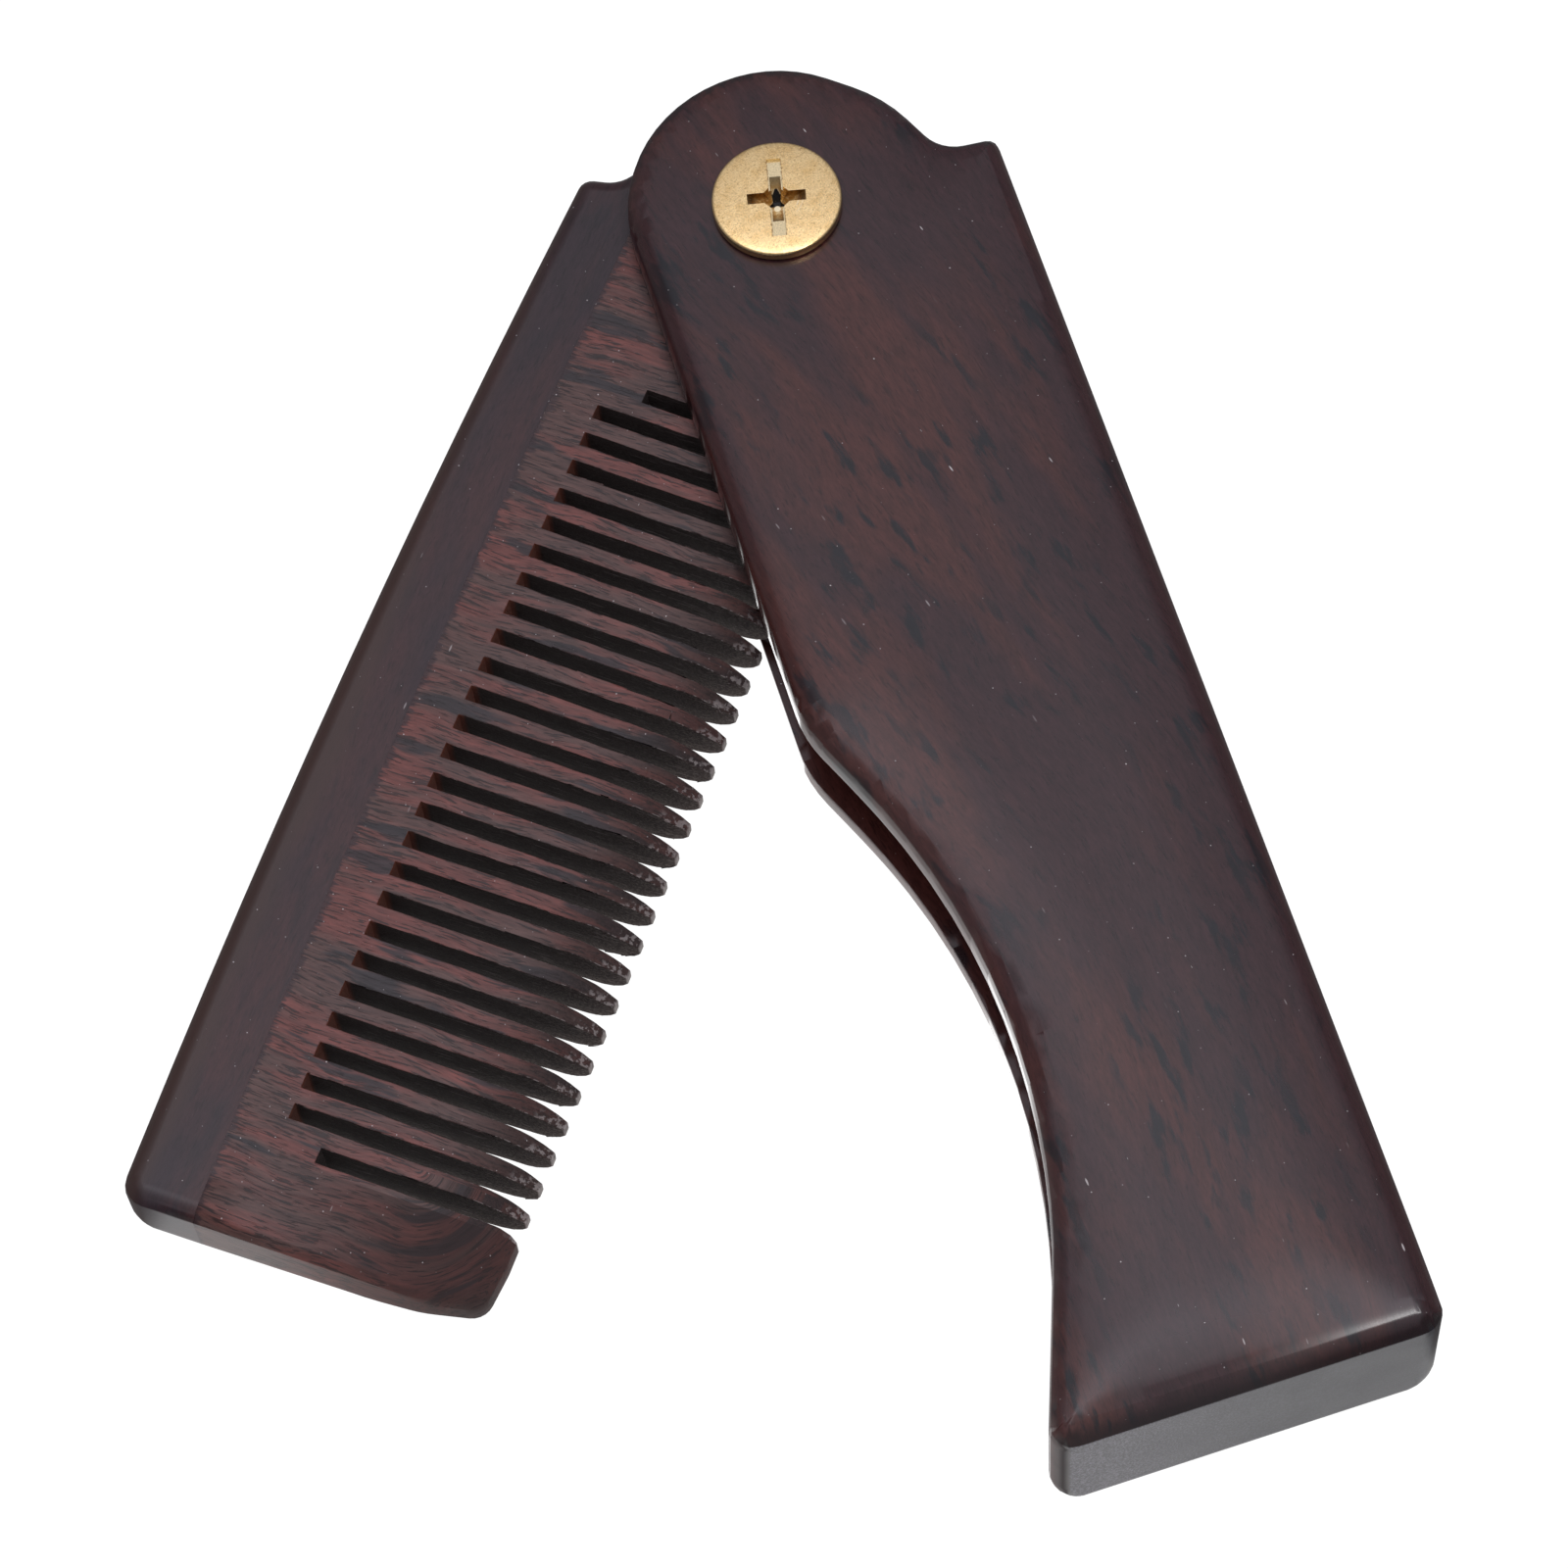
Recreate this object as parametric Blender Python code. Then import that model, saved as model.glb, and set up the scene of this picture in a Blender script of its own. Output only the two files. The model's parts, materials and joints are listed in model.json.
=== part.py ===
"""Folding pocket comb: a wooden handle with a slot, and a wooden comb that turns in it on a brass screw.

The origin is on the pivot's axis, in the plane of the handle's back. +Z points out of the front,
where the screw's head is. The handle runs down -Y from its round head, with its closed edge at +X
and its open edge, where the comb swings out, at -X. The comb is drawn folded shut, and the empty
comb_pivot then turns it out to the half-open place that it is shown in.
"""

import math

import bmesh
import bpy
from mathutils import Matrix, Vector

# Sizes are in millimetres. mesh_object turns them into metres.
METRES = 0.001

# Handle
HANDLE_THICKNESS = 13.5
SCALE_THICKNESS = 3.75
HANDLE_ROUNDING = 2.0
HANDLE_ROUNDING_STEPS = 4
CLOSED_EDGE_X = 18.0
OPEN_EDGE_X = -11.25
HEAD_TOP_Y = 12.9
HEAD_RADIUS = 11.75
SHOULDER_Y = 1.2
END_Y = -101.0

# Slot in the handle, between its front and back scales
SLOT_WALL_X = 13.0
SLOT_SEAT_Y = -1.3
SLOT_END_Y = -91.8
SLOT_CORNER_RADIUS = 4.0

# Comb
COMB_OPEN_ANGLE = 37.8
COMB_THICKNESS = 5.3
COMB_ROUNDING = 1.5
COMB_ROUNDING_STEPS = 3
COMB_END_Y = -89.9
TIP_LINE_X = 10.9
GUARD_BEND_Y = -85.4
TAPER_START_X = -11.4
TIP_HALF_THICKNESS = 2.0
HUB_RADIUS = 11.2
BOSS_RADIUS = 8.0
BOSS_THICKNESS = 5.2
GLUE_LINE = ((-10.1, 14.0), (-11.9, -46.0), (-11.2, -97.0))
GLUE_GAP = 0.06

# Slots between the teeth
PITCH = 2.529
FULL_SLOTS = 25
FIRST_SLOT_Y = -19.29
ROOT_X = -8.2
ROOT_BOW = 0.35
SHORT_ROOT_X = -4.75
SLOT_WIDTH = 1.2
# Half widths towards the tips, and on the guard's side of the last slot: x, half width
SLOT_FLARE = ((-2.0, 0.6), (6.2, 0.67), (9.0, 0.71), (10.1, 0.8), (11.0, 0.93), (12.4, 1.24))
GUARD_FLARE = ((8.4, 0.6), (9.6, 0.62), (10.4, 0.72), (11.0, 0.95), (12.4, 1.24))
# The teeth nearest the pivot lean towards the guard: how far at the tips, and the saw cuts between
# which the lean dies away
TIP_LEAN = 0.35
LEAN_FULL_TO = 7
LEAN_GONE_AT = 15
# The tips of the teeth are rounded at the front and eased at the back. Columns: x, height above the
# comb's middle
TIP_FRONT_ARC = ((6.5, 2.2), (9.3, 1.25), (10.85, 0.05))
TIP_BACK_ARC = ((10.85, -1.2), (10.45, -1.75), (9.5, -2.2))
TIP_STEPS = 5

# Brass screw and post
SCREW_HEAD_RADIUS = 5.0
SCREW_HEAD_HEIGHT = 1.0
SHANK_RADIUS = 1.5
SHANK_END_Z = 3.4
SHANK_CHAMFER = 0.3
HEAD_UNDER_CHAMFER = 0.15
HEAD_ROUNDING = 0.25
POST_RADIUS = 2.45
POST_BORE_RADIUS = 1.65
POST_BORE_END_Z = 2.4
POST_HEAD_CHAMFER = 0.2
FIT_GAP = 0.15
COMB_BORE_GAP = 0.2

# Recesses in the screw's head
RECESS_ANGLE = -13.0
CROSS_ARM = 2.2
CROSS_HALF_WIDTH = 0.42
# The arms widen to this half width at this distance from the middle, and the hollow corner between
# two arms lies this far out along each of them
CROSS_ROOT_HALF_WIDTH = 0.57
CROSS_ROOT = 1.09
CROSS_CORNER = 0.78
CROSS_DEPTH = 1.8
CROSS_FLOOR_SCALE = 0.3
CROSS_TOP_SCALE = 1.15
CROSS_RISE = 0.3
SLOT_HALF_WIDTH = 0.55
SLOT_HALF_LENGTH = 3.35
SLOT_DEPTH = 0.32

MIDDLE_Z = HANDLE_THICKNESS / 2
# How far the widest cutters reach, and how far the others pass the faces that they cut
REACH = 60.0
BEYOND = 1.0
LEAST_RADIUS = 0.08
ROUND_SIDES = 48
GLUE_STEPS = 16

# Long edges at the front or the back. Each is the depth that its rounding reaches, and the angle
# at which the rounding meets the side: 90 degrees is smooth, and less leaves a crisp corner
HANDLE_SOFT = (HANDLE_ROUNDING, 90.0)
HANDLE_CUT = (1.235, 55.0)
COMB_SOFT = (COMB_ROUNDING, 90.0)
COMB_WORN = (0.75, 52.0)
COMB_GUARD = (COMB_ROUNDING, 68.0)
CRISP = (0.3, 90.0)

# Outlines run counterclockwise. Columns: x, y, corner radius, steps round the corner, and the front
# and back edges of the side that follows the corner
HANDLE_CORNERS = (
    (-11.9, END_Y - 0.1, 1.6, 6, HANDLE_CUT, CRISP),
    (CLOSED_EDGE_X - 0.1, END_Y + 0.2, 2.0, 7, HANDLE_SOFT, HANDLE_SOFT),
    (CLOSED_EDGE_X, SHOULDER_Y - 0.15, 1.0, 3, HANDLE_SOFT, HANDLE_SOFT),
    (13.67, SHOULDER_Y + 0.25, 3.0, 6, HANDLE_SOFT, HANDLE_SOFT),
    (10.98, 7.35, 12.0, 4, HANDLE_SOFT, HANDLE_SOFT),
    (4.37, HEAD_TOP_Y, 10.4, 6, HANDLE_SOFT, HANDLE_SOFT),
    (OPEN_EDGE_X, HEAD_TOP_Y, HEAD_RADIUS, 14, HANDLE_SOFT, HANDLE_SOFT),
    (OPEN_EDGE_X, -42.2, 10.0, 4, HANDLE_SOFT, HANDLE_SOFT),
    (0.0, -68.0, 56.0, 14, HANDLE_SOFT, HANDLE_SOFT),
)
COMB_CORNERS = (
    (-17.45, COMB_END_Y - 0.35, 2.0, 5, COMB_WORN, CRISP),
    (6.6, COMB_END_Y - 0.15, 12.0, 4, COMB_SOFT, COMB_SOFT),
    (TIP_LINE_X - 0.3, COMB_END_Y + 0.75, 1.6, 5, COMB_GUARD, COMB_GUARD),
    (TIP_LINE_X + 0.05, GUARD_BEND_Y, 5.0, 3, COMB_GUARD, COMB_GUARD),
    (TIP_LINE_X - 0.1, HUB_RADIUS, HUB_RADIUS - 0.4, 12, COMB_SOFT, COMB_SOFT),
    (-6.5, HUB_RADIUS, HUB_RADIUS, 6, COMB_SOFT, COMB_SOFT),
    (-13.6, 0.5, 2.5, 5, COMB_SOFT, COMB_SOFT),
    (-16.45, -0.1, 1.3, 4, COMB_SOFT, COMB_SOFT),
    (-18.85, -45.0, 980.0, 12, COMB_SOFT, COMB_SOFT),
)
FRONT_EDGE = 4
BACK_EDGE = 5


def clear_scene():
    for item in list(bpy.data.objects):
        bpy.data.objects.remove(item, do_unlink=True)


def make_material(name, colour, roughness, metallic=0.0):
    material = bpy.data.materials.new(name)
    material.use_nodes = True
    shader = material.node_tree.nodes["Principled BSDF"]
    shader.inputs["Base Color"].default_value = (*colour, 1.0)
    shader.inputs["Roughness"].default_value = roughness
    shader.inputs["Metallic"].default_value = metallic
    return material


def mesh_object(name, bm, material=None, parent=None):
    """Turns a bmesh drawn in millimetres into an object in metres."""
    bmesh.ops.recalc_face_normals(bm, faces=bm.faces)
    bmesh.ops.transform(bm, matrix=Matrix.Scale(METRES, 4), verts=bm.verts)
    mesh = bpy.data.meshes.new(name)
    bm.to_mesh(mesh)
    bm.free()
    made = bpy.data.objects.new(name, mesh)
    bpy.context.scene.collection.objects.link(made)
    made.parent = parent
    if material:
        mesh.materials.append(material)
        mesh.shade_smooth()
        mesh.set_sharp_from_angle(angle=math.radians(30))
    return made


def cutter_object(name, bm, parent=None):
    cutter = mesh_object(name, bm, parent=parent)
    cutter.hide_render = True
    cutter.display_type = "WIRE"
    return cutter


def boolean(target, other, operation):
    modifier = target.modifiers.new(other.name, "BOOLEAN")
    modifier.operation = operation
    modifier.solver = "EXACT"
    modifier.object = other


def crossing(start, along, other, other_along):
    """Point where two lines meet."""
    across = along.cross(other_along)
    return start + along * ((other - start).cross(other_along) / across)


def edge_inset(edge, depth):
    """How far a side is drawn in at this depth below the face."""
    fall, angle = edge
    radius = fall / (1 - math.cos(math.radians(angle)))
    reach = radius * math.sin(math.radians(angle))
    height = radius - min(depth, fall)
    return reach - math.sqrt(radius**2 - height**2)


def rounded_outline(corners, insets=None):
    """Points of a counterclockwise outline with arc corners, each side drawn in by its own inset."""
    insets = insets or [0.0] * len(corners)
    sides = []
    for index, (corner, inset) in enumerate(zip(corners, insets)):
        start = Vector(corner[:2])
        along = (Vector(corners[(index + 1) % len(corners)][:2]) - start).normalized()
        inward = Vector((-along.y, along.x))
        sides.append((start + inward * inset, along))
    points = []
    for index, (_, _, radius, steps, *_) in enumerate(corners):
        start, along = sides[index - 1]
        other, other_along = sides[index]
        corner = crossing(start, along, other, other_along)
        turn = math.atan2(along.cross(other_along), along.dot(other_along))
        outside = 1.0 if turn > 0 else -1.0
        bend = max(radius - outside * (insets[index - 1] + insets[index]) / 2, LEAST_RADIUS)
        tangent = corner - along * bend * math.tan(abs(turn) / 2)
        heading = math.atan2(along.y, along.x) - math.pi / 2
        centre = tangent - outside * bend * Vector((math.cos(heading), math.sin(heading)))
        for step in range(steps + 1):
            angle = heading + turn * step / steps
            points.append(centre + outside * bend * Vector((math.cos(angle), math.sin(angle))))
    return points


def stack_rings(rings):
    """A closed body through rings of as many points each, with a flat face on the first and last."""
    bm = bmesh.new()
    loops = [[bm.verts.new(point) for point in ring] for ring in rings]
    for lower, upper in zip(loops, loops[1:]):
        for i in range(len(lower)):
            bm.faces.new((lower[i - 1], lower[i], upper[i], upper[i - 1]))
    bm.faces.new(loops[0])
    bm.faces.new(loops[-1])
    return bm


def rounded_slab(corners, bottom, top, rounding, steps):
    """A slab whose back and front edges are rounded, each side in its own way."""
    depths = [rounding * (1 - math.cos(math.radians(90.0) * step / steps)) for step in range(steps + 1)]
    rings = []
    for depth in depths:
        outline = rounded_outline(corners, [edge_inset(corner[BACK_EDGE], depth) for corner in corners])
        rings.append([(x, y, bottom + depth) for x, y in outline])
    for depth in reversed(depths):
        outline = rounded_outline(corners, [edge_inset(corner[FRONT_EDGE], depth) for corner in corners])
        rings.append([(x, y, top - depth) for x, y in outline])
    return stack_rings(rings)


def prism(points, bottom, top):
    return stack_rings([[(x, y, z) for x, y in points] for z in (bottom, top)])


def turned(profile):
    """A body of revolution about Z through rows of radius and height, flat at both ends."""
    rings = []
    for radius, z in profile:
        turns = (2 * math.pi * side / ROUND_SIDES for side in range(ROUND_SIDES))
        rings.append([(radius * math.cos(turn), radius * math.sin(turn), z) for turn in turns])
    return stack_rings(rings)


def arc_through(first, middle, last, steps):
    """Points on the circle through three points."""
    a, b, c = Vector(first), Vector(middle), Vector(last)
    normal_ab = Vector((a.y - b.y, b.x - a.x))
    normal_bc = Vector((b.y - c.y, c.x - b.x))
    centre = crossing((a + b) / 2, normal_ab, (b + c) / 2, normal_bc)
    start = a - centre
    end = c - centre
    turn = math.atan2(start.cross(end), start.dot(end))
    points = []
    for step in range(steps + 1):
        angle = turn * step / steps
        points.append(centre + Matrix.Rotation(angle, 2) @ start)
    return points


def make_handle(wood):
    """One piece of wood with the comb's slot cut in from its open edge and round its head."""
    body = rounded_slab(HANDLE_CORNERS, 0.0, HANDLE_THICKNESS, HANDLE_ROUNDING, HANDLE_ROUNDING_STEPS)
    handle = mesh_object("handle", body, wood)

    # Columns: x, y, corner radius, steps round the corner
    slot_corners = (
        (-REACH, SLOT_END_Y, 1.0, 1),
        (SLOT_WALL_X, SLOT_END_Y, SLOT_CORNER_RADIUS, 5),
        (SLOT_WALL_X, SLOT_SEAT_Y, 0.6, 3),
        (REACH, SLOT_SEAT_Y, 1.0, 1),
        (REACH, REACH, 1.0, 1),
        (-REACH, REACH, 1.0, 1),
    )
    slot = prism(rounded_outline(slot_corners), SCALE_THICKNESS, HANDLE_THICKNESS - SCALE_THICKNESS)
    boolean(handle, cutter_object("cutter_slot", slot), "DIFFERENCE")

    bore_radius = POST_RADIUS + FIT_GAP
    sink_radius = SCREW_HEAD_RADIUS + FIT_GAP
    sink_depth = SCREW_HEAD_HEIGHT + FIT_GAP
    profile = (
        (sink_radius, -BEYOND),
        (sink_radius, sink_depth),
        (bore_radius, sink_depth),
        (bore_radius, HANDLE_THICKNESS + BEYOND),
    )
    boolean(handle, cutter_object("cutter_pivot_bore", turned(profile)), "DIFFERENCE")
    return handle


def taper(bm):
    """Thins a comb body evenly from the glue line to the tips of the teeth."""
    half = COMB_THICKNESS / 2
    fall = (half - TIP_HALF_THICKNESS) / (TIP_LINE_X - TAPER_START_X)
    for vert in bm.verts:
        here = half - fall * (vert.co.x - TAPER_START_X)
        vert.co.z = MIDDLE_Z + (vert.co.z - MIDDLE_Z) * here / half


def comb_body():
    bottom = MIDDLE_Z - COMB_THICKNESS / 2
    top = MIDDLE_Z + COMB_THICKNESS / 2
    return rounded_slab(COMB_CORNERS, bottom, top, COMB_ROUNDING, COMB_ROUNDING_STEPS)


def glue_cutter(name, side, pivot):
    """All on one side of the curved glue line: -1 is the spine's side, 1 the side of the teeth."""
    line = arc_through(*GLUE_LINE, GLUE_STEPS)
    points = [(x - side * GLUE_GAP / 2, y) for x, y in line]
    outer = REACH * side
    points += [(outer, GLUE_LINE[2][1]), (outer, GLUE_LINE[0][1])]
    return cutter_object(name, prism(points, -BEYOND, HANDLE_THICKNESS + BEYOND), pivot)


def make_comb_spine(wood, pivot):
    """The strip along the comb's back, with its grain lengthwise."""
    spine = mesh_object("comb_spine", comb_body(), wood, pivot)
    boolean(spine, glue_cutter("cutter_teeth_side", 1, pivot), "DIFFERENCE")
    return spine


def tooth_gaps(pivot):
    """The saw cuts between the teeth, wider at the tips. The first and last cuts are shorter."""
    bm = bmesh.new()
    middle = (FULL_SLOTS - 1) / 2
    for index in range(-1, FULL_SLOTS + 1):
        y = FIRST_SLOT_Y - index * PITCH
        root = SHORT_ROOT_X
        if 0 <= index < FULL_SLOTS:
            root = ROOT_X + ROOT_BOW * ((index - middle) / middle) ** 2
        lower_flare = GUARD_FLARE if index == FULL_SLOTS else SLOT_FLARE
        outline = [(x, y - half) for x, half in ((root, SLOT_WIDTH / 2), *lower_flare)]
        outline += [(x, y + half) for x, half in reversed(SLOT_FLARE)]
        outline.append((root, y + SLOT_WIDTH / 2))
        share = min(max((LEAN_GONE_AT - index) / (LEAN_GONE_AT - LEAN_FULL_TO), 0.0), 1.0)
        slope = share * TIP_LEAN / (TIP_LINE_X - ROOT_X)
        outline = [(x, y - slope * (x - ROOT_X)) for x, y in outline]
        cut = prism(outline, 0.0, HANDLE_THICKNESS)
        piece = bpy.data.meshes.new("cut")
        cut.to_mesh(piece)
        cut.free()
        bm.from_mesh(piece)
        bpy.data.meshes.remove(piece)
    return cutter_object("cutter_tooth_gaps", bm, pivot)


def tip_rounding(pivot):
    """All that lies outside the tips' profile, from the first short saw cut to the last."""
    front = [Vector(point) for point in arc_through(*TIP_FRONT_ARC, TIP_STEPS)]
    back = [Vector(point) for point in arc_through(*TIP_BACK_ARC, TIP_STEPS)]
    corners = ((back[-1].x, -REACH), (REACH, -REACH), (REACH, REACH), (front[0].x, REACH))
    profile = front + back + [Vector(point) for point in corners]
    ends = (FIRST_SLOT_Y + PITCH, FIRST_SLOT_Y - FULL_SLOTS * PITCH)
    cutter = stack_rings([[(x, y, MIDDLE_Z + z) for x, z in profile] for y in ends])
    return cutter_object("cutter_tips", cutter, pivot)


def make_comb_teeth(wood, pivot):
    """The board with the teeth and the round hub, with its grain along the teeth."""
    body = comb_body()
    taper(body)
    teeth = mesh_object("comb_teeth", body, wood, pivot)
    boolean(teeth, glue_cutter("cutter_spine_side", -1, pivot), "DIFFERENCE")

    low = MIDDLE_Z - BOSS_THICKNESS / 2
    high = MIDDLE_Z + BOSS_THICKNESS / 2
    boss = turned(((BOSS_RADIUS, low), (BOSS_RADIUS, high)))
    boolean(teeth, cutter_object("form_boss", boss, pivot), "UNION")
    boolean(teeth, tip_rounding(pivot), "DIFFERENCE")
    boolean(teeth, tooth_gaps(pivot), "DIFFERENCE")

    bore = POST_RADIUS + COMB_BORE_GAP
    hole = turned(((bore, 0.0), (bore, HANDLE_THICKNESS)))
    boolean(teeth, cutter_object("cutter_comb_bore", hole, pivot), "DIFFERENCE")
    return teeth


def cross_recess():
    """A cross that narrows downwards, with hollow corners between its arms."""
    top_z = HANDLE_THICKNESS + FIT_GAP + SCREW_HEAD_HEIGHT
    arm = (
        (CROSS_ARM, -CROSS_HALF_WIDTH),
        (CROSS_ARM, CROSS_HALF_WIDTH),
        (CROSS_ROOT, CROSS_ROOT_HALF_WIDTH),
        (CROSS_CORNER, CROSS_CORNER),
        (CROSS_ROOT_HALF_WIDTH, CROSS_ROOT),
    )
    levels = ((CROSS_TOP_SCALE, top_z + CROSS_RISE), (CROSS_FLOOR_SCALE, top_z - CROSS_DEPTH))
    rings = []
    for scale, z in levels:
        ring = []
        for quarter in range(4):
            turn = Matrix.Rotation(math.radians(90.0 * quarter + RECESS_ANGLE), 2)
            ring += [turn @ (Vector(point) * scale) for point in arm]
        rings.append([(x, y, z) for x, y in ring])
    return stack_rings(rings)


def make_screw(brass):
    """Front half of the pivot: a flat head with a cross recess and a shallow slot, and a plain shank."""
    under = HANDLE_THICKNESS + FIT_GAP
    top = under + SCREW_HEAD_HEIGHT
    corner = HEAD_ROUNDING * (1 - math.cos(math.radians(45)))
    profile = (
        (SHANK_RADIUS - SHANK_CHAMFER, SHANK_END_Z),
        (SHANK_RADIUS, SHANK_END_Z + SHANK_CHAMFER),
        (SHANK_RADIUS, under),
        (SCREW_HEAD_RADIUS - HEAD_UNDER_CHAMFER, under),
        (SCREW_HEAD_RADIUS, under + HEAD_UNDER_CHAMFER),
        (SCREW_HEAD_RADIUS, top - HEAD_ROUNDING),
        (SCREW_HEAD_RADIUS - corner, top - corner),
        (SCREW_HEAD_RADIUS - HEAD_ROUNDING, top),
    )
    screw = mesh_object("pivot_screw", turned(profile), brass)
    boolean(screw, cutter_object("cutter_cross", cross_recess()), "DIFFERENCE")

    turn = Matrix.Rotation(math.radians(RECESS_ANGLE), 2)
    sides = ((-1, -1), (1, -1), (1, 1), (-1, 1))
    outline = [turn @ Vector((x * SLOT_HALF_WIDTH, y * SLOT_HALF_LENGTH)) for x, y in sides]
    slot = prism(outline, top - SLOT_DEPTH, top + BEYOND)
    boolean(screw, cutter_object("cutter_slot_in_head", slot), "DIFFERENCE")
    return screw


def make_post(brass):
    """Back half of the pivot: a plain head flush with the back, and the barrel that the comb turns on."""
    barrel_top = HANDLE_THICKNESS - FIT_GAP
    profile = (
        (SCREW_HEAD_RADIUS - POST_HEAD_CHAMFER, 0.0),
        (SCREW_HEAD_RADIUS, POST_HEAD_CHAMFER),
        (SCREW_HEAD_RADIUS, SCREW_HEAD_HEIGHT),
        (POST_RADIUS, SCREW_HEAD_HEIGHT),
        (POST_RADIUS, barrel_top),
        (POST_BORE_RADIUS, barrel_top),
        (POST_BORE_RADIUS, POST_BORE_END_Z),
    )
    return mesh_object("pivot_post", turned(profile), brass)


def main():
    clear_scene()
    dark_wood = make_material("dark_wood", (0.060, 0.030, 0.028), 0.34)
    spine_wood = make_material("spine_wood", (0.052, 0.030, 0.030), 0.36)
    tooth_wood = make_material("tooth_wood", (0.078, 0.036, 0.031), 0.48)
    brass = make_material("brass", (0.72, 0.52, 0.24), 0.30, 1.0)

    pivot = bpy.data.objects.new("comb_pivot", None)
    bpy.context.scene.collection.objects.link(pivot)
    pivot.rotation_euler.z = math.radians(-COMB_OPEN_ANGLE)

    make_handle(dark_wood)
    make_comb_spine(spine_wood, pivot)
    make_comb_teeth(tooth_wood, pivot)
    make_screw(brass)
    make_post(brass)


main()
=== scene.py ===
import json
import math

import bmesh
import bpy
from mathutils import Euler, Matrix, Vector, noise
from mathutils.bvhtree import BVHTree

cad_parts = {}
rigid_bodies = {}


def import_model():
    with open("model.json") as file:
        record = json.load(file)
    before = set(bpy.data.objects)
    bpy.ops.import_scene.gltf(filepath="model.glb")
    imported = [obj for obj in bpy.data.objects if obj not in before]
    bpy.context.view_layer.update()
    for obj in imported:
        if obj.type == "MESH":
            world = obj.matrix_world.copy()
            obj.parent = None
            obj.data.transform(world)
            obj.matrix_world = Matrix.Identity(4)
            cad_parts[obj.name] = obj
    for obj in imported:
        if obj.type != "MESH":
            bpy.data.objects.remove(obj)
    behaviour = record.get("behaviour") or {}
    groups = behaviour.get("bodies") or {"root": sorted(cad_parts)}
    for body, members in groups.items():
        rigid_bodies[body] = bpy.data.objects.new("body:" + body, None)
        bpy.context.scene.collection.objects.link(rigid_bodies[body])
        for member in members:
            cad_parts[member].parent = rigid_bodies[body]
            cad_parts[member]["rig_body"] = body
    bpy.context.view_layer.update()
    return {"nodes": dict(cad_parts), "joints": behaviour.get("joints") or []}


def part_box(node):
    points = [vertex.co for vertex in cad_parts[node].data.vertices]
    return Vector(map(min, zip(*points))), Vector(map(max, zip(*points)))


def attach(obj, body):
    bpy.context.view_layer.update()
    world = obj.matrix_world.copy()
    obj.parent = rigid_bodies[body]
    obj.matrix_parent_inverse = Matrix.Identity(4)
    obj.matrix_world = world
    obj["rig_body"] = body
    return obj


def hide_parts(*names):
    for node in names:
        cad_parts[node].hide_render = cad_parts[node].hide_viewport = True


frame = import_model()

mm = 0.001
# the comb was drawn folded shut and turned out by this much, so its own patterns are turned back by it
combTurn = frame["joints"][0]["range_deg"][1]
print("frame loaded, comb turned out by", combTurn, "degrees")


# helpers for shader nodes
def feed(tree, node, values):
    # links each socket to its value, or sets it
    for socket, value in values.items():
        if isinstance(value, bpy.types.NodeSocket):
            tree.links.new(value, node.inputs[socket])
        else:
            node.inputs[socket].default_value = value


def put(tree, kind, inputs=None, **settings):
    node = tree.nodes.new(kind)
    for name, value in settings.items():
        setattr(node, name, value)
    feed(tree, node, inputs or {})
    return node


def calc(tree, operation, a, b=0.0, c=0.0):
    return put(tree, "ShaderNodeMath", {0: a, 1: b, 2: c}, operation=operation).outputs[0]


def times(tree, first, *others):
    for other in others:
        first = calc(tree, "MULTIPLY", first, other)
    return first


def timesPlus(tree, a, b, c):
    return calc(tree, "MULTIPLY_ADD", a, b, c)


def swing(tree, value):
    # how far a noise between 0 and 1 lies from its middle
    return calc(tree, "SUBTRACT", value, 0.5)


def vectorCalc(tree, operation, a, b=(0, 0, 0), output=0):
    return put(tree, "ShaderNodeVectorMath", {0: a, 1: b}, operation=operation).outputs[output]


def scaled(tree, vector, factor):
    return put(tree, "ShaderNodeVectorMath", {0: vector, "Scale": factor}, operation="SCALE").outputs[0]


def axes(tree, vector):
    return put(tree, "ShaderNodeSeparateXYZ", {0: vector}).outputs


def fade(tree, value, low, high):
    # 0 below low, 1 above high, smooth between; low may be the larger of the two
    limits = {"Value": value, "From Min": low, "From Max": high}
    return put(tree, "ShaderNodeMapRange", limits, interpolation_type="SMOOTHSTEP").outputs[0]


def inside(tree, value, low, high):
    return times(tree, calc(tree, "GREATER_THAN", value, low), calc(tree, "LESS_THAN", value, high))


def mixNumbers(tree, factor, a, b):
    return put(tree, "ShaderNodeMix", {0: factor, 2: a, 3: b}, data_type="FLOAT").outputs[0]


def mixColours(tree, factor, a, b):
    return put(tree, "ShaderNodeMix", {0: factor, 6: a, 7: b}, data_type="RGBA").outputs[2]


def noiseAt(tree, vector, layer, output="Fac"):
    # a layer is its stretch for each millimetre, detail, roughness, and any levels that it fades in between
    stretch, detail, rough, *between = layer
    place = vectorCalc(tree, "MULTIPLY", vector, stretch)
    sockets = {"Vector": place, "Scale": 1.0, "Detail": detail, "Roughness": rough}
    found = put(tree, "ShaderNodeTexNoise", sockets).outputs[output]
    return fade(tree, found, *between) if between else found


def lay(tree, colour, over, *masks):
    # lays a colour over another one, where all the masks are
    return mixColours(tree, times(tree, *masks), colour, over)


def newGroup(name, inputs, outputs):
    group = bpy.data.node_groups.new(name, "ShaderNodeTree")
    for side, sockets in (("INPUT", inputs), ("OUTPUT", outputs)):
        for label, kind in sockets.items():
            group.interface.new_socket(label, in_out=side, socket_type="NodeSocket" + kind)
    return group, put(group, "NodeGroupInput").outputs, put(group, "NodeGroupOutput").inputs


def use(tree, group, inputs):
    return put(tree, "ShaderNodeGroup", inputs, node_tree=group).outputs


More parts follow.
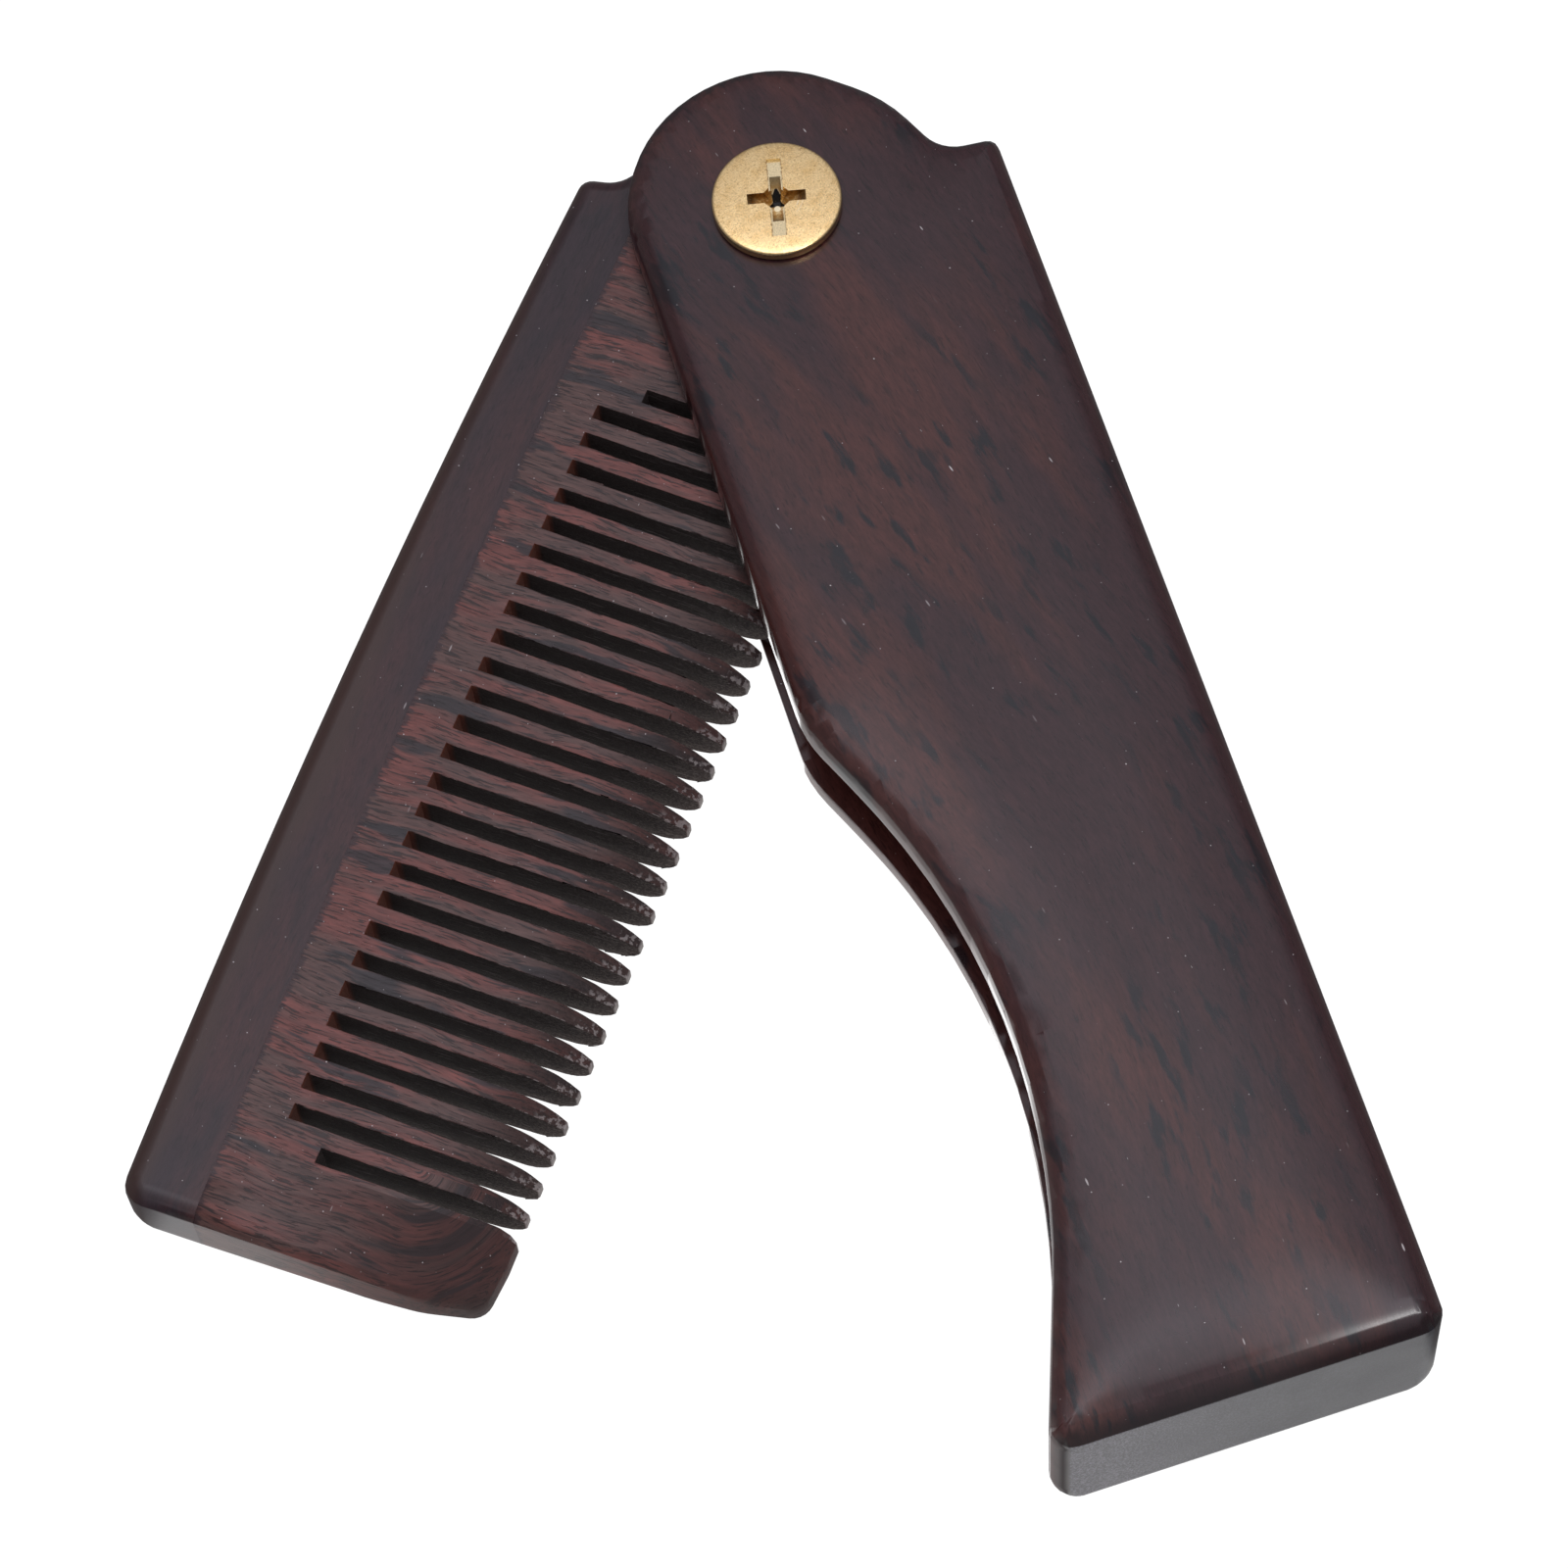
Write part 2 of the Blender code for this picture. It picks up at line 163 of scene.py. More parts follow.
# grain of the dark wood: vector in millimetres, Y along the grain
figureLook = {
    "wave": ((0.05, 0.03, 0.05), 1.0, 0.5),
    "patches": ((0.15, 0.035, 0.1), 3.0, 0.6),
    "coolBetween": (0.40, 0.62),
    "clusters": ((0.16, 0.06, 0.1), 1.0, 0.5, 0.36, 0.56),
    "smears": ((0.75, 0.18, 0.3), 3.0, 0.6, 0.53, 0.66),
    "streaks": ((2.1, 0.42, 1.2), 4.0, 0.65),
    "fibres": ((7.0, 1.6, 5.0), 3.0, 0.7),
    "pores": ((5.0, 0.75, 3.0), 2.0, 0.6, 0.58, 0.68),
    "poreDark": 0.40,
}


def makeWoodFigure():
    look = figureLook
    inputs = {"Vector": "Vector", "Warm": "Color", "Cool": "Color", "Dark": "Color", "Smears": "Float",
              "Streaks": "Float", "Fibres": "Float", "Sway": "Float", "Cooler": "Float"}
    group, given, out = newGroup("woodFigure", inputs, {"Color": "Color", "Fibre": "Float"})
    wave = noiseAt(group, given["Vector"], look["wave"], "Color")
    wave = vectorCalc(group, "SUBTRACT", wave, (0.5, 0.5, 0.5))
    amount = put(group, "ShaderNodeCombineXYZ", {"X": given["Sway"], "Z": given["Sway"]}).outputs[0]
    grain = vectorCalc(group, "ADD", given["Vector"], vectorCalc(group, "MULTIPLY", wave, amount))

    patch = noiseAt(group, grain, look["patches"])
    tone = fade(group, calc(group, "ADD", patch, given["Cooler"]), *look["coolBetween"])
    colour = mixColours(group, tone, given["Warm"], given["Cool"])
    colour = lay(group, colour, given["Dark"], noiseAt(group, grain, look["smears"]),
                 noiseAt(group, grain, look["clusters"]), given["Smears"])

    streaks = times(group, swing(group, noiseAt(group, grain, look["streaks"])), given["Streaks"])
    fibre = noiseAt(group, grain, look["fibres"])
    fibres = times(group, swing(group, fibre), given["Fibres"])
    light = calc(group, "ADD", calc(group, "ADD", streaks, fibres), 0.5)
    pore = times(group, noiseAt(group, grain, look["pores"]), look["poreDark"])
    light = times(group, light, 2.0, calc(group, "SUBTRACT", 1.0, pore))
    group.links.new(scaled(group, colour, light), out["Color"])
    group.links.new(fibre, out["Fibre"])
    return group


# tiny pale dots of dust and filled pores on the faces: vector in millimetres, seen from above
speckLook = {
    "leastSize": 0.4,  # share of the given size
    "edge": (1.0, 0.5),  # a dot fades in between these shares of its own radius
    "faintness": 1.8,  # the higher, the more of them are faint
    "facing": (0.6, 0.9),  # only faces that look up or down are dusty
}


def makeSpecks():
    look = speckLook
    inputs = {"Vector": "Vector", "Normal": "Vector", "Spacing": "Float", "Share": "Float", "Size": "Float"}
    group, given, out = newGroup("specks", inputs, {"Mask": "Float"})
    cells = scaled(group, given["Vector"], calc(group, "DIVIDE", 1.0, given["Spacing"]))
    spots = put(group, "ShaderNodeTexVoronoi", {"Vector": cells, "Scale": 1.0}, voronoi_dimensions="2D")
    distance = times(group, spots.outputs["Distance"], given["Spacing"])
    chance = put(group, "ShaderNodeSeparateColor", {0: spots.outputs["Color"]}).outputs
    size = timesPlus(group, chance[1], given["Size"], times(group, given["Size"], look["leastSize"]))
    dot = fade(group, calc(group, "DIVIDE", distance, size), *look["edge"])
    chosen = calc(group, "LESS_THAN", chance[0], given["Share"])
    strength = calc(group, "POWER", chance[2], look["faintness"])
    up = calc(group, "ABSOLUTE", axes(group, given["Normal"])["Z"])
    group.links.new(times(group, dot, chosen, strength, fade(group, up, *look["facing"])), out["Mask"])
    return group


# how far a surface leans away from the front or back face: 0 on the flat, 1 on the sides
def makeLean():
    inputs = {"Normal": "Vector", "Start": "Float", "End": "Float"}
    group, given, out = newGroup("lean", inputs, {"Lean": "Float"})
    up = calc(group, "ABSOLUTE", axes(group, given["Normal"])["Z"])
    group.links.new(fade(group, up, given["Start"], given["End"]), out["Lean"])
    return group


woodFigure = makeWoodFigure()
specks = makeSpecks()
lean = makeLean()
print("shader groups ready")


# helpers for materials
def newMaterial(name):
    material = bpy.data.materials.new(name)
    material.use_nodes = True
    tree = material.node_tree
    return material, tree, tree.nodes["Principled BSDF"], put(tree, "ShaderNodeTexCoord").outputs


def inMillimetres(tree, place, turn=0.0):
    scale = (1 / mm, 1 / mm, 1 / mm)
    sockets = {"Vector": place["Object"], "Rotation": (0, 0, math.radians(turn)), "Scale": scale}
    return put(tree, "ShaderNodeMapping", sockets).outputs[0]


def leanOf(tree, place, start, end):
    return use(tree, lean, {"Normal": place["Normal"], "Start": start, "End": end})["Lean"]


def finishShader(tree, shader, look, colour, roughness, height):
    relief = {"Height": height, "Distance": look["reliefDepth"], "Strength": 1.0}
    normal = put(tree, "ShaderNodeBump", relief).outputs[0]
    feed(tree, shader, {"Base Color": colour, "Roughness": roughness, "Normal": normal})


# dust lies in round dots, and in dashes along the grain
dustMarks = {
    "share": 0.45,  # of the places that hold a mark
    "dotSize": 0.052,  # millimetres
    "dashSize": 0.060,
    "dashStretch": 0.22,
}


def dusted(tree, colour, vector, place, look):
    along = vectorCalc(tree, "MULTIPLY", vector, (1.0, dustMarks["dashStretch"], 1.0))
    marks = []
    for where, spacing, size in ((vector, look["dotSpacing"], dustMarks["dotSize"]),
                                 (along, look["dashSpacing"], dustMarks["dashSize"])):
        sockets = {"Vector": where, "Normal": place["Normal"], "Spacing": spacing,
                   "Share": dustMarks["share"], "Size": size}
        marks.append(use(tree, specks, sockets)["Mask"])
    return mixColours(tree, calc(tree, "MAXIMUM", *marks), colour, look["dust"])


# helpers for geometry: each wooden piece starts as a merged copy of its solid
woodEdges = {
    "weld": 0.001 * mm,
    "width": 0.06 * mm,
    "sharperThan": 40,  # degrees between two faces whose edge is eased
    "straightWithin": 0.1,  # degrees
    "farThrown": 1.5,  # a bevelled point this many widths off the surface goes back to it
    "mergeWithin": 0.0001 * mm,
    "planeGrip": 0.0001 * mm,
    "glueFacing": 0.9,  # how squarely the glued faces look along X on the folded comb
    "glueClosing": 0.055 * mm,
}
levelWithin = 0.001  # millimetres
facingUp = 0.999


def addObject(name, data):
    item = bpy.data.objects.new(name, data)
    bpy.context.scene.collection.objects.link(item)
    return item


def objectFrom(bm, name):
    mesh = bpy.data.meshes.new(name)
    bm.to_mesh(mesh)
    bm.free()
    return addObject(name, mesh)


def mergedCopy(node, weld=woodEdges["weld"]):
    bm = bmesh.new()
    bm.from_mesh(frame["nodes"][node].data)
    bmesh.ops.remove_doubles(bm, verts=bm.verts, dist=weld)
    straight = math.radians(woodEdges["straightWithin"])
    bmesh.ops.dissolve_limit(bm, angle_limit=straight, verts=bm.verts, edges=bm.edges)
    return bm


def turnAbout(bm, degrees):
    turn = Matrix.Rotation(math.radians(degrees), 3, "Z")
    bmesh.ops.rotate(bm, cent=(0, 0, 0), matrix=turn, verts=bm.verts)
    bm.normal_update()


def cutThrough(bm, axis, place):
    # cuts every face that this plane crosses; the place is in millimetres along the axis
    point = [0, 0, 0]
    direction = [0, 0, 0]
    point[axis] = place * mm
    direction[axis] = 1
    everything = list(bm.verts) + list(bm.edges) + list(bm.faces)
    grip = woodEdges["planeGrip"]
    bmesh.ops.bisect_plane(bm, geom=everything, dist=grip, plane_co=point, plane_no=direction)


def easeEdges(bm, keep=(), width=woodEdges["width"], sharperThan=woodEdges["sharperThan"]):
    # bevels the sharp edges, and draws back any point that a bevel threw far from the surface
    surface = BVHTree.FromBMesh(bm)
    held = {vert for face in keep for vert in face.verts}
    sharp = [edge for edge in bm.edges if edge.calc_face_angle(0.0) > math.radians(sharperThan)]
    sharp = [edge for edge in sharp if not (edge.verts[0] in held and edge.verts[1] in held)]
    bmesh.ops.bevel(bm, geom=sharp, offset=width, offset_type="OFFSET", segments=2, profile=0.5,
                    affect="EDGES", material=-1, clamp_overlap=False)
    for vert in bm.verts:
        nearest, _, _, distance = surface.find_nearest(vert.co)
        if distance > woodEdges["farThrown"] * width:
            vert.co = nearest
    bmesh.ops.remove_doubles(bm, verts=bm.verts, dist=woodEdges["mergeWithin"])


def finishPiece(name, bm, material, node, sharpFrom=50, weighting="FACE_AREA", weight=80):
    piece = objectFrom(bm, name)
    mesh = piece.data
    mesh.materials.append(material)
    mesh.shade_smooth()
    mesh.set_sharp_from_angle(angle=math.radians(sharpFrom))
    weighted = piece.modifiers.new("flat faces stay flat", "WEIGHTED_NORMAL")
    weighted.mode = weighting
    weighted.weight = weight
    weighted.keep_sharp = True
    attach(piece, frame["nodes"][node]["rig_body"])
    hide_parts(node)
    print("made", name, "with", len(mesh.polygons), "faces")


# the handle
handleLook = {
    "figure": {
        "Warm": (0.070, 0.0205, 0.0165, 1),
        "Cool": (0.036, 0.0130, 0.0155, 1),
        "Dark": (0.006, 0.0065, 0.010, 1),
        "Smears": 0.95,
        "Streaks": 0.70,
        "Fibres": 0.42,
        "Sway": 7.0,
    },
    "slope": 0.27,  # how far the grain runs sideways for each millimetre along the handle
    "straightFrom": -35.0,  # below here that dies away
    "straightOver": 65.0,
    # the wood grows cooler to the right by this much for each millimetre, and by more right of here
    "coolerFrom": 3.0,
    "coolerBy": 0.0035,
    "coolerRight": 0.0095,
    "headCooler": 0.11,
    "headBetween": (-18.0, 0.0),
    # the eased edges are painted darker as shade: red along the sides, black at the end; the pairs are shares
    # of the normal
    "shadedEdgeRed": (0.040, 0.009, 0.008, 1),
    "shadedEdgeBlack": (0.010, 0.006, 0.007, 1),
    "edgeLean": (0.99, 0.75),
    "shadedEdgeShare": 0.4,
    "edgeTurns": (0.1, 0.5),
    "blackBetween": (0.25, 0.75),
    "blackShare": 0.75,
    # the flat end is painted with a grey-blue reflection: pale at the left, dark at the right of these
    # millimetres, and speckled
    "endSheenPale": (0.092, 0.084, 0.102, 1),
    "endSheenGrey": (0.016, 0.014, 0.022, 1),
    "endTurns": (-14.0, 10.0),
    "endFacing": (0.86, 0.96),
    "endGrain": ((6.0, 6.0, 6.0), 3.0, 0.8, 0.42, 0.66),
    "endSpeckle": 1.7,
    "endDarkest": 0.35,
    "dust": (0.62, 0.57, 0.56, 1),
    "dotSpacing": 1.9,  # millimetres
    "dashSpacing": 2.6,
    "roughness": 0.25,
    "smudges": ((0.25, 0.08, 0.25), 4.0, 0.6),
    "smudgeRoughness": 0.10,
    "sideLean": (0.5, 0.2),
    "sideRoughness": 0.16,
    "slotSideRoughness": -0.10,  # the sides that face left are smooth and mirror the floor
    "leftFacing": (-0.6, -0.85),
    # the end's rounding, between these shares of the normal, grows dull to the left, in millimetres
    "roundingFrom": (0.04, 0.16),
    "roundingTo": (0.9, 0.75),
    "dullEnd": (13.0, 0.0),
    "dullness": 0.40,
    "smudgeRelief": 1.2,
    "fibreRelief": 0.5,
    "reliefDepth": 0.006 * mm,
}


def leaningGrain(tree, place):
    # X of the result counts across the grain of the handle, in millimetres
    look = handleLook
    own = inMillimetres(tree, place)
    at = axes(tree, own)
    below = calc(tree, "MAXIMUM", calc(tree, "SUBTRACT", look["straightFrom"], at["Y"]), 0.0)
    bend = calc(tree, "DIVIDE", times(tree, below, below), 2 * look["straightOver"])
    shift = times(tree, calc(tree, "ADD", at["Y"], bend), look["slope"])
    across = calc(tree, "ADD", at["X"], shift)
    return own, put(tree, "ShaderNodeCombineXYZ", {"X": across, "Y": at["Y"], "Z": at["Z"]}).outputs[0]


def handleMaterial():
    look = handleLook
    material, tree, shader, place = newMaterial("darkWoodHandle")
    own, grain = leaningGrain(tree, place)
    at = axes(tree, own)
    normal = axes(tree, place["Normal"])
    facing = calc(tree, "ABSOLUTE", normal["Y"])

    offset = calc(tree, "SUBTRACT", at["X"], look["coolerFrom"])
    cooler = times(tree, offset, look["coolerBy"])
    cooler = timesPlus(tree, calc(tree, "MAXIMUM", offset, 0.0), look["coolerRight"], cooler)
    cooler = timesPlus(tree, fade(tree, at["Y"], *look["headBetween"]), look["headCooler"], cooler)
    figure = use(tree, woodFigure, {"Vector": grain, "Cooler": cooler, **look["figure"]})

    # painted shade: the eased edges are darkened, red along the sides and black at the rounding of the end
    shadedEdgeColour = mixColours(tree, fade(tree, facing, *look["edgeTurns"]), look["shadedEdgeRed"], look["shadedEdgeBlack"])
    edge = leanOf(tree, place, *look["edgeLean"])
    colour = lay(tree, figure["Color"], shadedEdgeColour, edge, look["shadedEdgeShare"])
    black = fade(tree, facing, *look["blackBetween"])
    colour = lay(tree, colour, look["shadedEdgeBlack"], black, look["blackShare"])
    # painted reflection: the flat end is coloured as a grey-blue sheen, pale at the left and dark at the
    # right, speckled by its end grain
    speck = timesPlus(tree, noiseAt(tree, own, look["endGrain"]), look["endSpeckle"], look["endDarkest"])
    endReflectionColour = mixColours(tree, fade(tree, at["X"], *look["endTurns"]), look["endSheenPale"], look["endSheenGrey"])
    isEnd = fade(tree, facing, *look["endFacing"])
    colour = mixColours(tree, isEnd, colour, scaled(tree, endReflectionColour, speck))
    colour = dusted(tree, colour, grain, place, look)

    smudge = noiseAt(tree, grain, look["smudges"])
    roughness = timesPlus(tree, swing(tree, smudge), look["smudgeRoughness"], look["roughness"])
    leftward = fade(tree, normal["X"], *look["leftFacing"])
    smoother = look["slotSideRoughness"] - look["sideRoughness"]
    sideChange = timesPlus(tree, leftward, smoother, look["sideRoughness"])
    roughness = timesPlus(tree, leanOf(tree, place, *look["sideLean"]), sideChange, roughness)
    rounding = times(tree, fade(tree, facing, *look["roundingFrom"]), fade(tree, facing, *look["roundingTo"]))
    dull = times(tree, rounding, fade(tree, at["X"], *look["dullEnd"]))
    roughness = timesPlus(tree, dull, look["dullness"], roughness)
    height = timesPlus(tree, smudge, look["smudgeRelief"], times(tree, figure["Fibre"], look["fibreRelief"]))
    finishShader(tree, shader, look, colour, roughness, height)
    return material


# sanding has left the handle's faces very slightly crowned: they fall away towards the outline
handleShape = {
    "drop": 0.34,  # millimetres
    "reach": 7.0,
    "curve": 2.3,
    "roundedDepth": 2.0,
    "stepX": 1.0,
    "stepY": 1.5,
    "levels": (0.7, 2.6, 3.1, 10.4, 10.9, 12.0),
    "boreRadius": 5.6,
    # the long open curve below here loses its small corners
    "easeBelow": -46.0,
    "easeUnder": 8.0,  # degrees
    "easePasses": 8,
    "easeBy": 0.5,
    "sharpFrom": 30,
}


def easeOutline(bm):
    # lets the short straight runs of the handle's long open curve bend into one
    shape = handleShape
    bm.normal_update()
    for _ in range(shape["easePasses"]):
        moved = {}
        for vert in bm.verts:
            if vert.co.y > shape["easeBelow"] * mm:
                continue
            along = []
            for edge in vert.link_edges:
                other = edge.other_vert(vert).co
                turned = any(abs(face.normal.z) < facingUp for face in edge.link_faces)
                if turned and abs(other.z - vert.co.z) < levelWithin * mm:
                    along.append(other)
            if len(along) != 2:
                continue
            before, after = [other.xy - vert.co.xy for other in along]
            bend = math.pi - before.angle(after, math.pi)
            if bend < math.radians(shape["easeUnder"]):
                share = before.length / (before.length + after.length)
                moved[vert] = along[0].xy.lerp(along[1].xy, share)
        for vert, place in moved.items():
            vert.co.xy = vert.co.xy.lerp(place, shape["easeBy"])


def outlineEdges(bm, level):
    # both ends of each edge of the outline at this height, in millimetres
    edges = []
    for edge in bm.edges:
        flat = all(abs(vert.co.z / mm - level) < levelWithin for vert in edge.verts)
        turned = any(abs(face.normal.z) < facingUp for face in edge.link_faces)
        outside = all(vert.co.xy.length / mm > handleShape["boreRadius"] for vert in edge.verts)
        if flat and turned and outside:
            edges.append([vert.co.xy / mm for vert in edge.verts])
    return edges


def gapTo(here, a, b):
    run = b - a
    share = (here - a).dot(run) / run.length_squared if run.length_squared else 0.0
    return (here - a - run * min(max(share, 0.0), 1.0)).length


def crownFaces(bm):
    shape = handleShape
    low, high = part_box("handle")
    for axis, step in ((0, shape["stepX"]), (1, shape["stepY"])):
        place = low[axis] / mm + step
        while place < high[axis] / mm - step / 2:
            cutThrough(bm, axis, place)
            place += step
    for place in shape["levels"]:
        cutThrough(bm, 2, place)
    easeOutline(bm)
    bm.normal_update()
    for level, inward in ((high[2] / mm, -1), (0.0, 1)):
        outline = outlineEdges(bm, level)
        heights = {}
        for vert in bm.verts:
            depth = abs(vert.co.z / mm - level)
            if depth > shape["roundedDepth"]:
                continue
            here = vert.co.xy / mm
            gap = shape["reach"]
            if depth < levelWithin:
                gap = min([gap] + [gapTo(here, a, b) for a, b in outline])
            elif here.length > shape["boreRadius"]:
                gap = 0.0
            fall = shape["drop"] * (1 - gap / shape["reach"]) ** shape["curve"]
            fall *= 1 - depth / shape["roundedDepth"]
            heights[vert] = vert.co.z + inward * fall * mm
        for vert, z in heights.items():
            vert.co.z = z


def makeHandle():
    bm = mergedCopy("handle")
    easeEdges(bm)
    crownFaces(bm)
    finishPiece("handleWood", bm, handleMaterial(), "handle",
                sharpFrom=handleShape["sharpFrom"], weighting="CORNER_ANGLE")


# the strip along the comb's back
spineLook = {
    "figure": {
        "Warm": (0.047, 0.0160, 0.0165, 1),
        "Cool": (0.025, 0.0125, 0.0170, 1),
        "Dark": (0.010, 0.008, 0.012, 1),
        "Smears": 0.45,
        "Streaks": 0.6,
        "Fibres": 0.5,
        "Sway": 3.0,
    },
    "bandBrown": (0.046, 0.022, 0.016, 1),
    "bandBetween": (-14.6, -16.8),  # millimetres across the comb, where the browner outer band begins
    "bandWobble": ((0.1, 0.06, 0.1), 2.0, 0.5),
    "bandSway": 3.0,
    "bandShare": 0.8,
    "dust": (0.50, 0.46, 0.46, 1),
    "dotSpacing": 1.5,
    "dashSpacing": 3.4,
    "roughness": 0.32,
    "reliefDepth": 0.006 * mm,
}


def spineMaterial():
    look = spineLook
    material, tree, shader, place = newMaterial("darkWoodSpine")
    own = inMillimetres(tree, place, combTurn)
    figure = use(tree, woodFigure, {"Vector": own, **look["figure"]})
    wobble = swing(tree, noiseAt(tree, own, look["bandWobble"]))
    across = timesPlus(tree, wobble, look["bandSway"], axes(tree, own)["X"])
    band = fade(tree, across, *look["bandBetween"])
    colour = lay(tree, figure["Color"], look["bandBrown"], band, look["bandShare"])
    colour = dusted(tree, colour, own, place, look)
    finishShader(tree, shader, look, colour, look["roughness"], figure["Fibre"])
    return material


def makeSpine():
    bm = mergedCopy("comb_spine")
    turnAbout(bm, combTurn)
    glued = [face for face in bm.faces if face.normal.x > woodEdges["glueFacing"]]
    onGlue = {vert for face in glued for vert in face.verts}
    bmesh.ops.translate(bm, vec=(woodEdges["glueClosing"], 0, 0), verts=list(onGlue))
    easeEdges(bm, keep=glued)
    turnAbout(bm, -combTurn)
    finishPiece("combSpineWood", bm, spineMaterial(), "comb_spine")


# the board with the teeth; all places are in millimetres on the folded comb
toothLook = {
    "arcCentre": (2.5, -81.0),  # the growth rings curve round the guard from here
    "wave": ((0.12, 0.12, 0.12), 1.0, 0.5),
    "waveReach": (1.6, 0.0, 1.0),
    # bands across the board, streaks, and fine dark pores along the grain
    "brown": (0.092, 0.046, 0.039, 1),
    "red": (0.160, 0.047, 0.038, 1),
    "redBands": ((0.36, 0.05, 0.1), 3.0, 0.6, 0.42, 0.60),
    "slate": (0.014, 0.013, 0.017, 1),
    "slateBands": ((0.50, 0.07, 0.1), 3.0, 0.6, 0.56, 0.62),
    "slateShare": 0.85,
    "streaks": ((3.2, 0.30, 1.0), 4.0, 0.7),
    "streakLight": 2.4,
    "pore": (0.010, 0.006, 0.006, 1),
    "pores": ((6.0, 0.5, 3.0), 2.0, 0.6, 0.54, 0.62),
    "poreShare": 0.8,
    # the eased edges, painted darker and redder as shade, the guard, and the frayed line where the strip
    # along the back begins
    "shadedEdgeRed": (0.070, 0.018, 0.012, 1),
    "edgeLean": (0.99, 0.8),
    "shadedEdgeShare": 0.15,
    "guardDark": (0.026, 0.016, 0.015, 1),
    "guardBetween": (-9.0, 8.5),
    "guardShare": 0.72,
    "glueDark": (0.030, 0.0135, 0.0165, 1),
    "glueLine": ((-10.1, 14.0), (-11.9, -46.0), (-11.2, -97.0)),
    "glueFuzz": ((0.35, 2.6, 1.0), 3.0, 0.6),
    "glueReach": 2.2,
    "glueBetween": (0.5, 0.15),
    "glueShare": 0.85,
    # the sawn walls lie between these lines, nearly black, with pale marks and grey specks
    "rootLine": -8.4,
    "tipLine": 10.7,
    "teethTop": -16.0,
    "teethBottom": -83.6,
    "wallLean": (0.75, 0.35),
    "sawDark": (0.0210, 0.0092, 0.0072, 1),
    "sawPale": (0.20, 0.165, 0.155, 1),
    "sawMarks": ((0.30, 1.2, 3.6), 4.0, 0.75),
    "paleMarks": (0.585, 0.66),
    "paleBetween": (-10.4, 3.0),
    "paleShare": 0.6,
    "sawGrey": (0.092, 0.070, 0.062, 1),
    "sawSpecks": ((4.5, 5.5, 5.5), 2.0, 0.8),
    "greySpecks": (0.44, 0.64),
    "greyTowardsTip": 0.70,
    "greyShare": 0.20,
    "rootRed": (0.20, 0.045, 0.018, 1),
    "rootBetween": (-7.5, -8.0),
    "rootShare": 0.7,
    # the tips are painted darker brown, a painted shade of their sloping ends; they have pale ends, and
    # painted highlights on their arrises
    "tipwards": (2.0, 9.5),
    "tipShadeBrown": (0.030, 0.019, 0.017),
    "tipSpeckle": 3.0,
    "tipShare": 0.75,
    "tipPale": (0.42, 0.38, 0.36, 1),
    "tipPaleBetween": (10.7, 10.85),
    "tipPaleShare": 0.6,
    "arrisHighlight": (0.60, 0.54, 0.52, 1),
    "arrisSideways": (0.25, 0.45),
    "arrisUp": (0.25, 0.45),
    "arrisNotFlat": (0.94, 0.85),
    "highlightPlaces": ((2.4, 2.8, 2.6), 2.0, 0.6, 0.48, 0.58),
    "highlightTowardsTip": 0.22,
    "highlightShare": 0.12,
    "dust": (0.60, 0.55, 0.54, 1),
    "dotSpacing": 1.05,
    "dashSpacing": 3.0,
    "roughness": 0.40,
    "mattShare": 0.8,  # the tips and the guard are nearly as matt as the sawn walls
    "mattRoughness": 0.55,
    "poreRelief": 0.5,
    "sawRelief": 3.0,
    "reliefDepth": 0.020 * mm,
}


def curvedGrain(tree, own):
    # X of the result counts across the grain, Y along it: straight along the teeth, and round the guard
    look = toothLook
    at = axes(tree, own)
    centreX, centreY = look["arcCentre"]
    right = calc(tree, "MAXIMUM", calc(tree, "SUBTRACT", at["X"], centreX), 0.0)
    down = calc(tree, "SUBTRACT", centreY, at["Y"])
    below = calc(tree, "MAXIMUM", down, 0.0)
    squares = calc(tree, "ADD", times(tree, right, right), times(tree, below, below))
    ring = mixNumbers(tree, calc(tree, "GREATER_THAN", down, 0.0), down, calc(tree, "SQRT", squares))
    grain = put(tree, "ShaderNodeCombineXYZ", {"X": ring, "Y": at["X"], "Z": at["Z"]}).outputs[0]
    wave = vectorCalc(tree, "MULTIPLY", noiseAt(tree, grain, look["wave"], "Color"), look["waveReach"])
    return at, vectorCalc(tree, "ADD", grain, wave)


def curveThrough(points):
    # the parabola x = a y^2 + b y + c through three points of x, y
    (x0, y0), (x1, y1), (x2, y2) = points
    first = (x1 - x0) / (y1 - y0)
    a = ((x2 - x1) / (y2 - y1) - first) / (y2 - y0)
    b = first - a * (y0 + y1)
    return a, b, x0 - a * y0**2 - b * y0


def boardColour(tree, grain):
    look = toothLook
    colour = mixColours(tree, noiseAt(tree, grain, look["redBands"]), look["brown"], look["red"])
    colour = lay(tree, colour, look["slate"], noiseAt(tree, grain, look["slateBands"]), look["slateShare"])
    streak = noiseAt(tree, grain, look["streaks"])
    colour = scaled(tree, colour, timesPlus(tree, swing(tree, streak), look["streakLight"], 1.0))
    pores = noiseAt(tree, grain, look["pores"])
    colour = lay(tree, colour, look["pore"], pores, look["poreShare"])
    return colour, calc(tree, "SUBTRACT", streak, times(tree, pores, look["poreRelief"]))


def glueMask(tree, own, at):
    look = toothLook
    a, b, c = curveThrough(look["glueLine"])
    glueX = timesPlus(tree, timesPlus(tree, at["Y"], a, b), at["Y"], c)
    fuzz = swing(tree, noiseAt(tree, own, look["glueFuzz"]))
    fromGlue = timesPlus(tree, fuzz, look["glueReach"], calc(tree, "SUBTRACT", at["X"], glueX))
    return times(tree, fade(tree, fromGlue, *look["glueBetween"]), look["glueShare"])


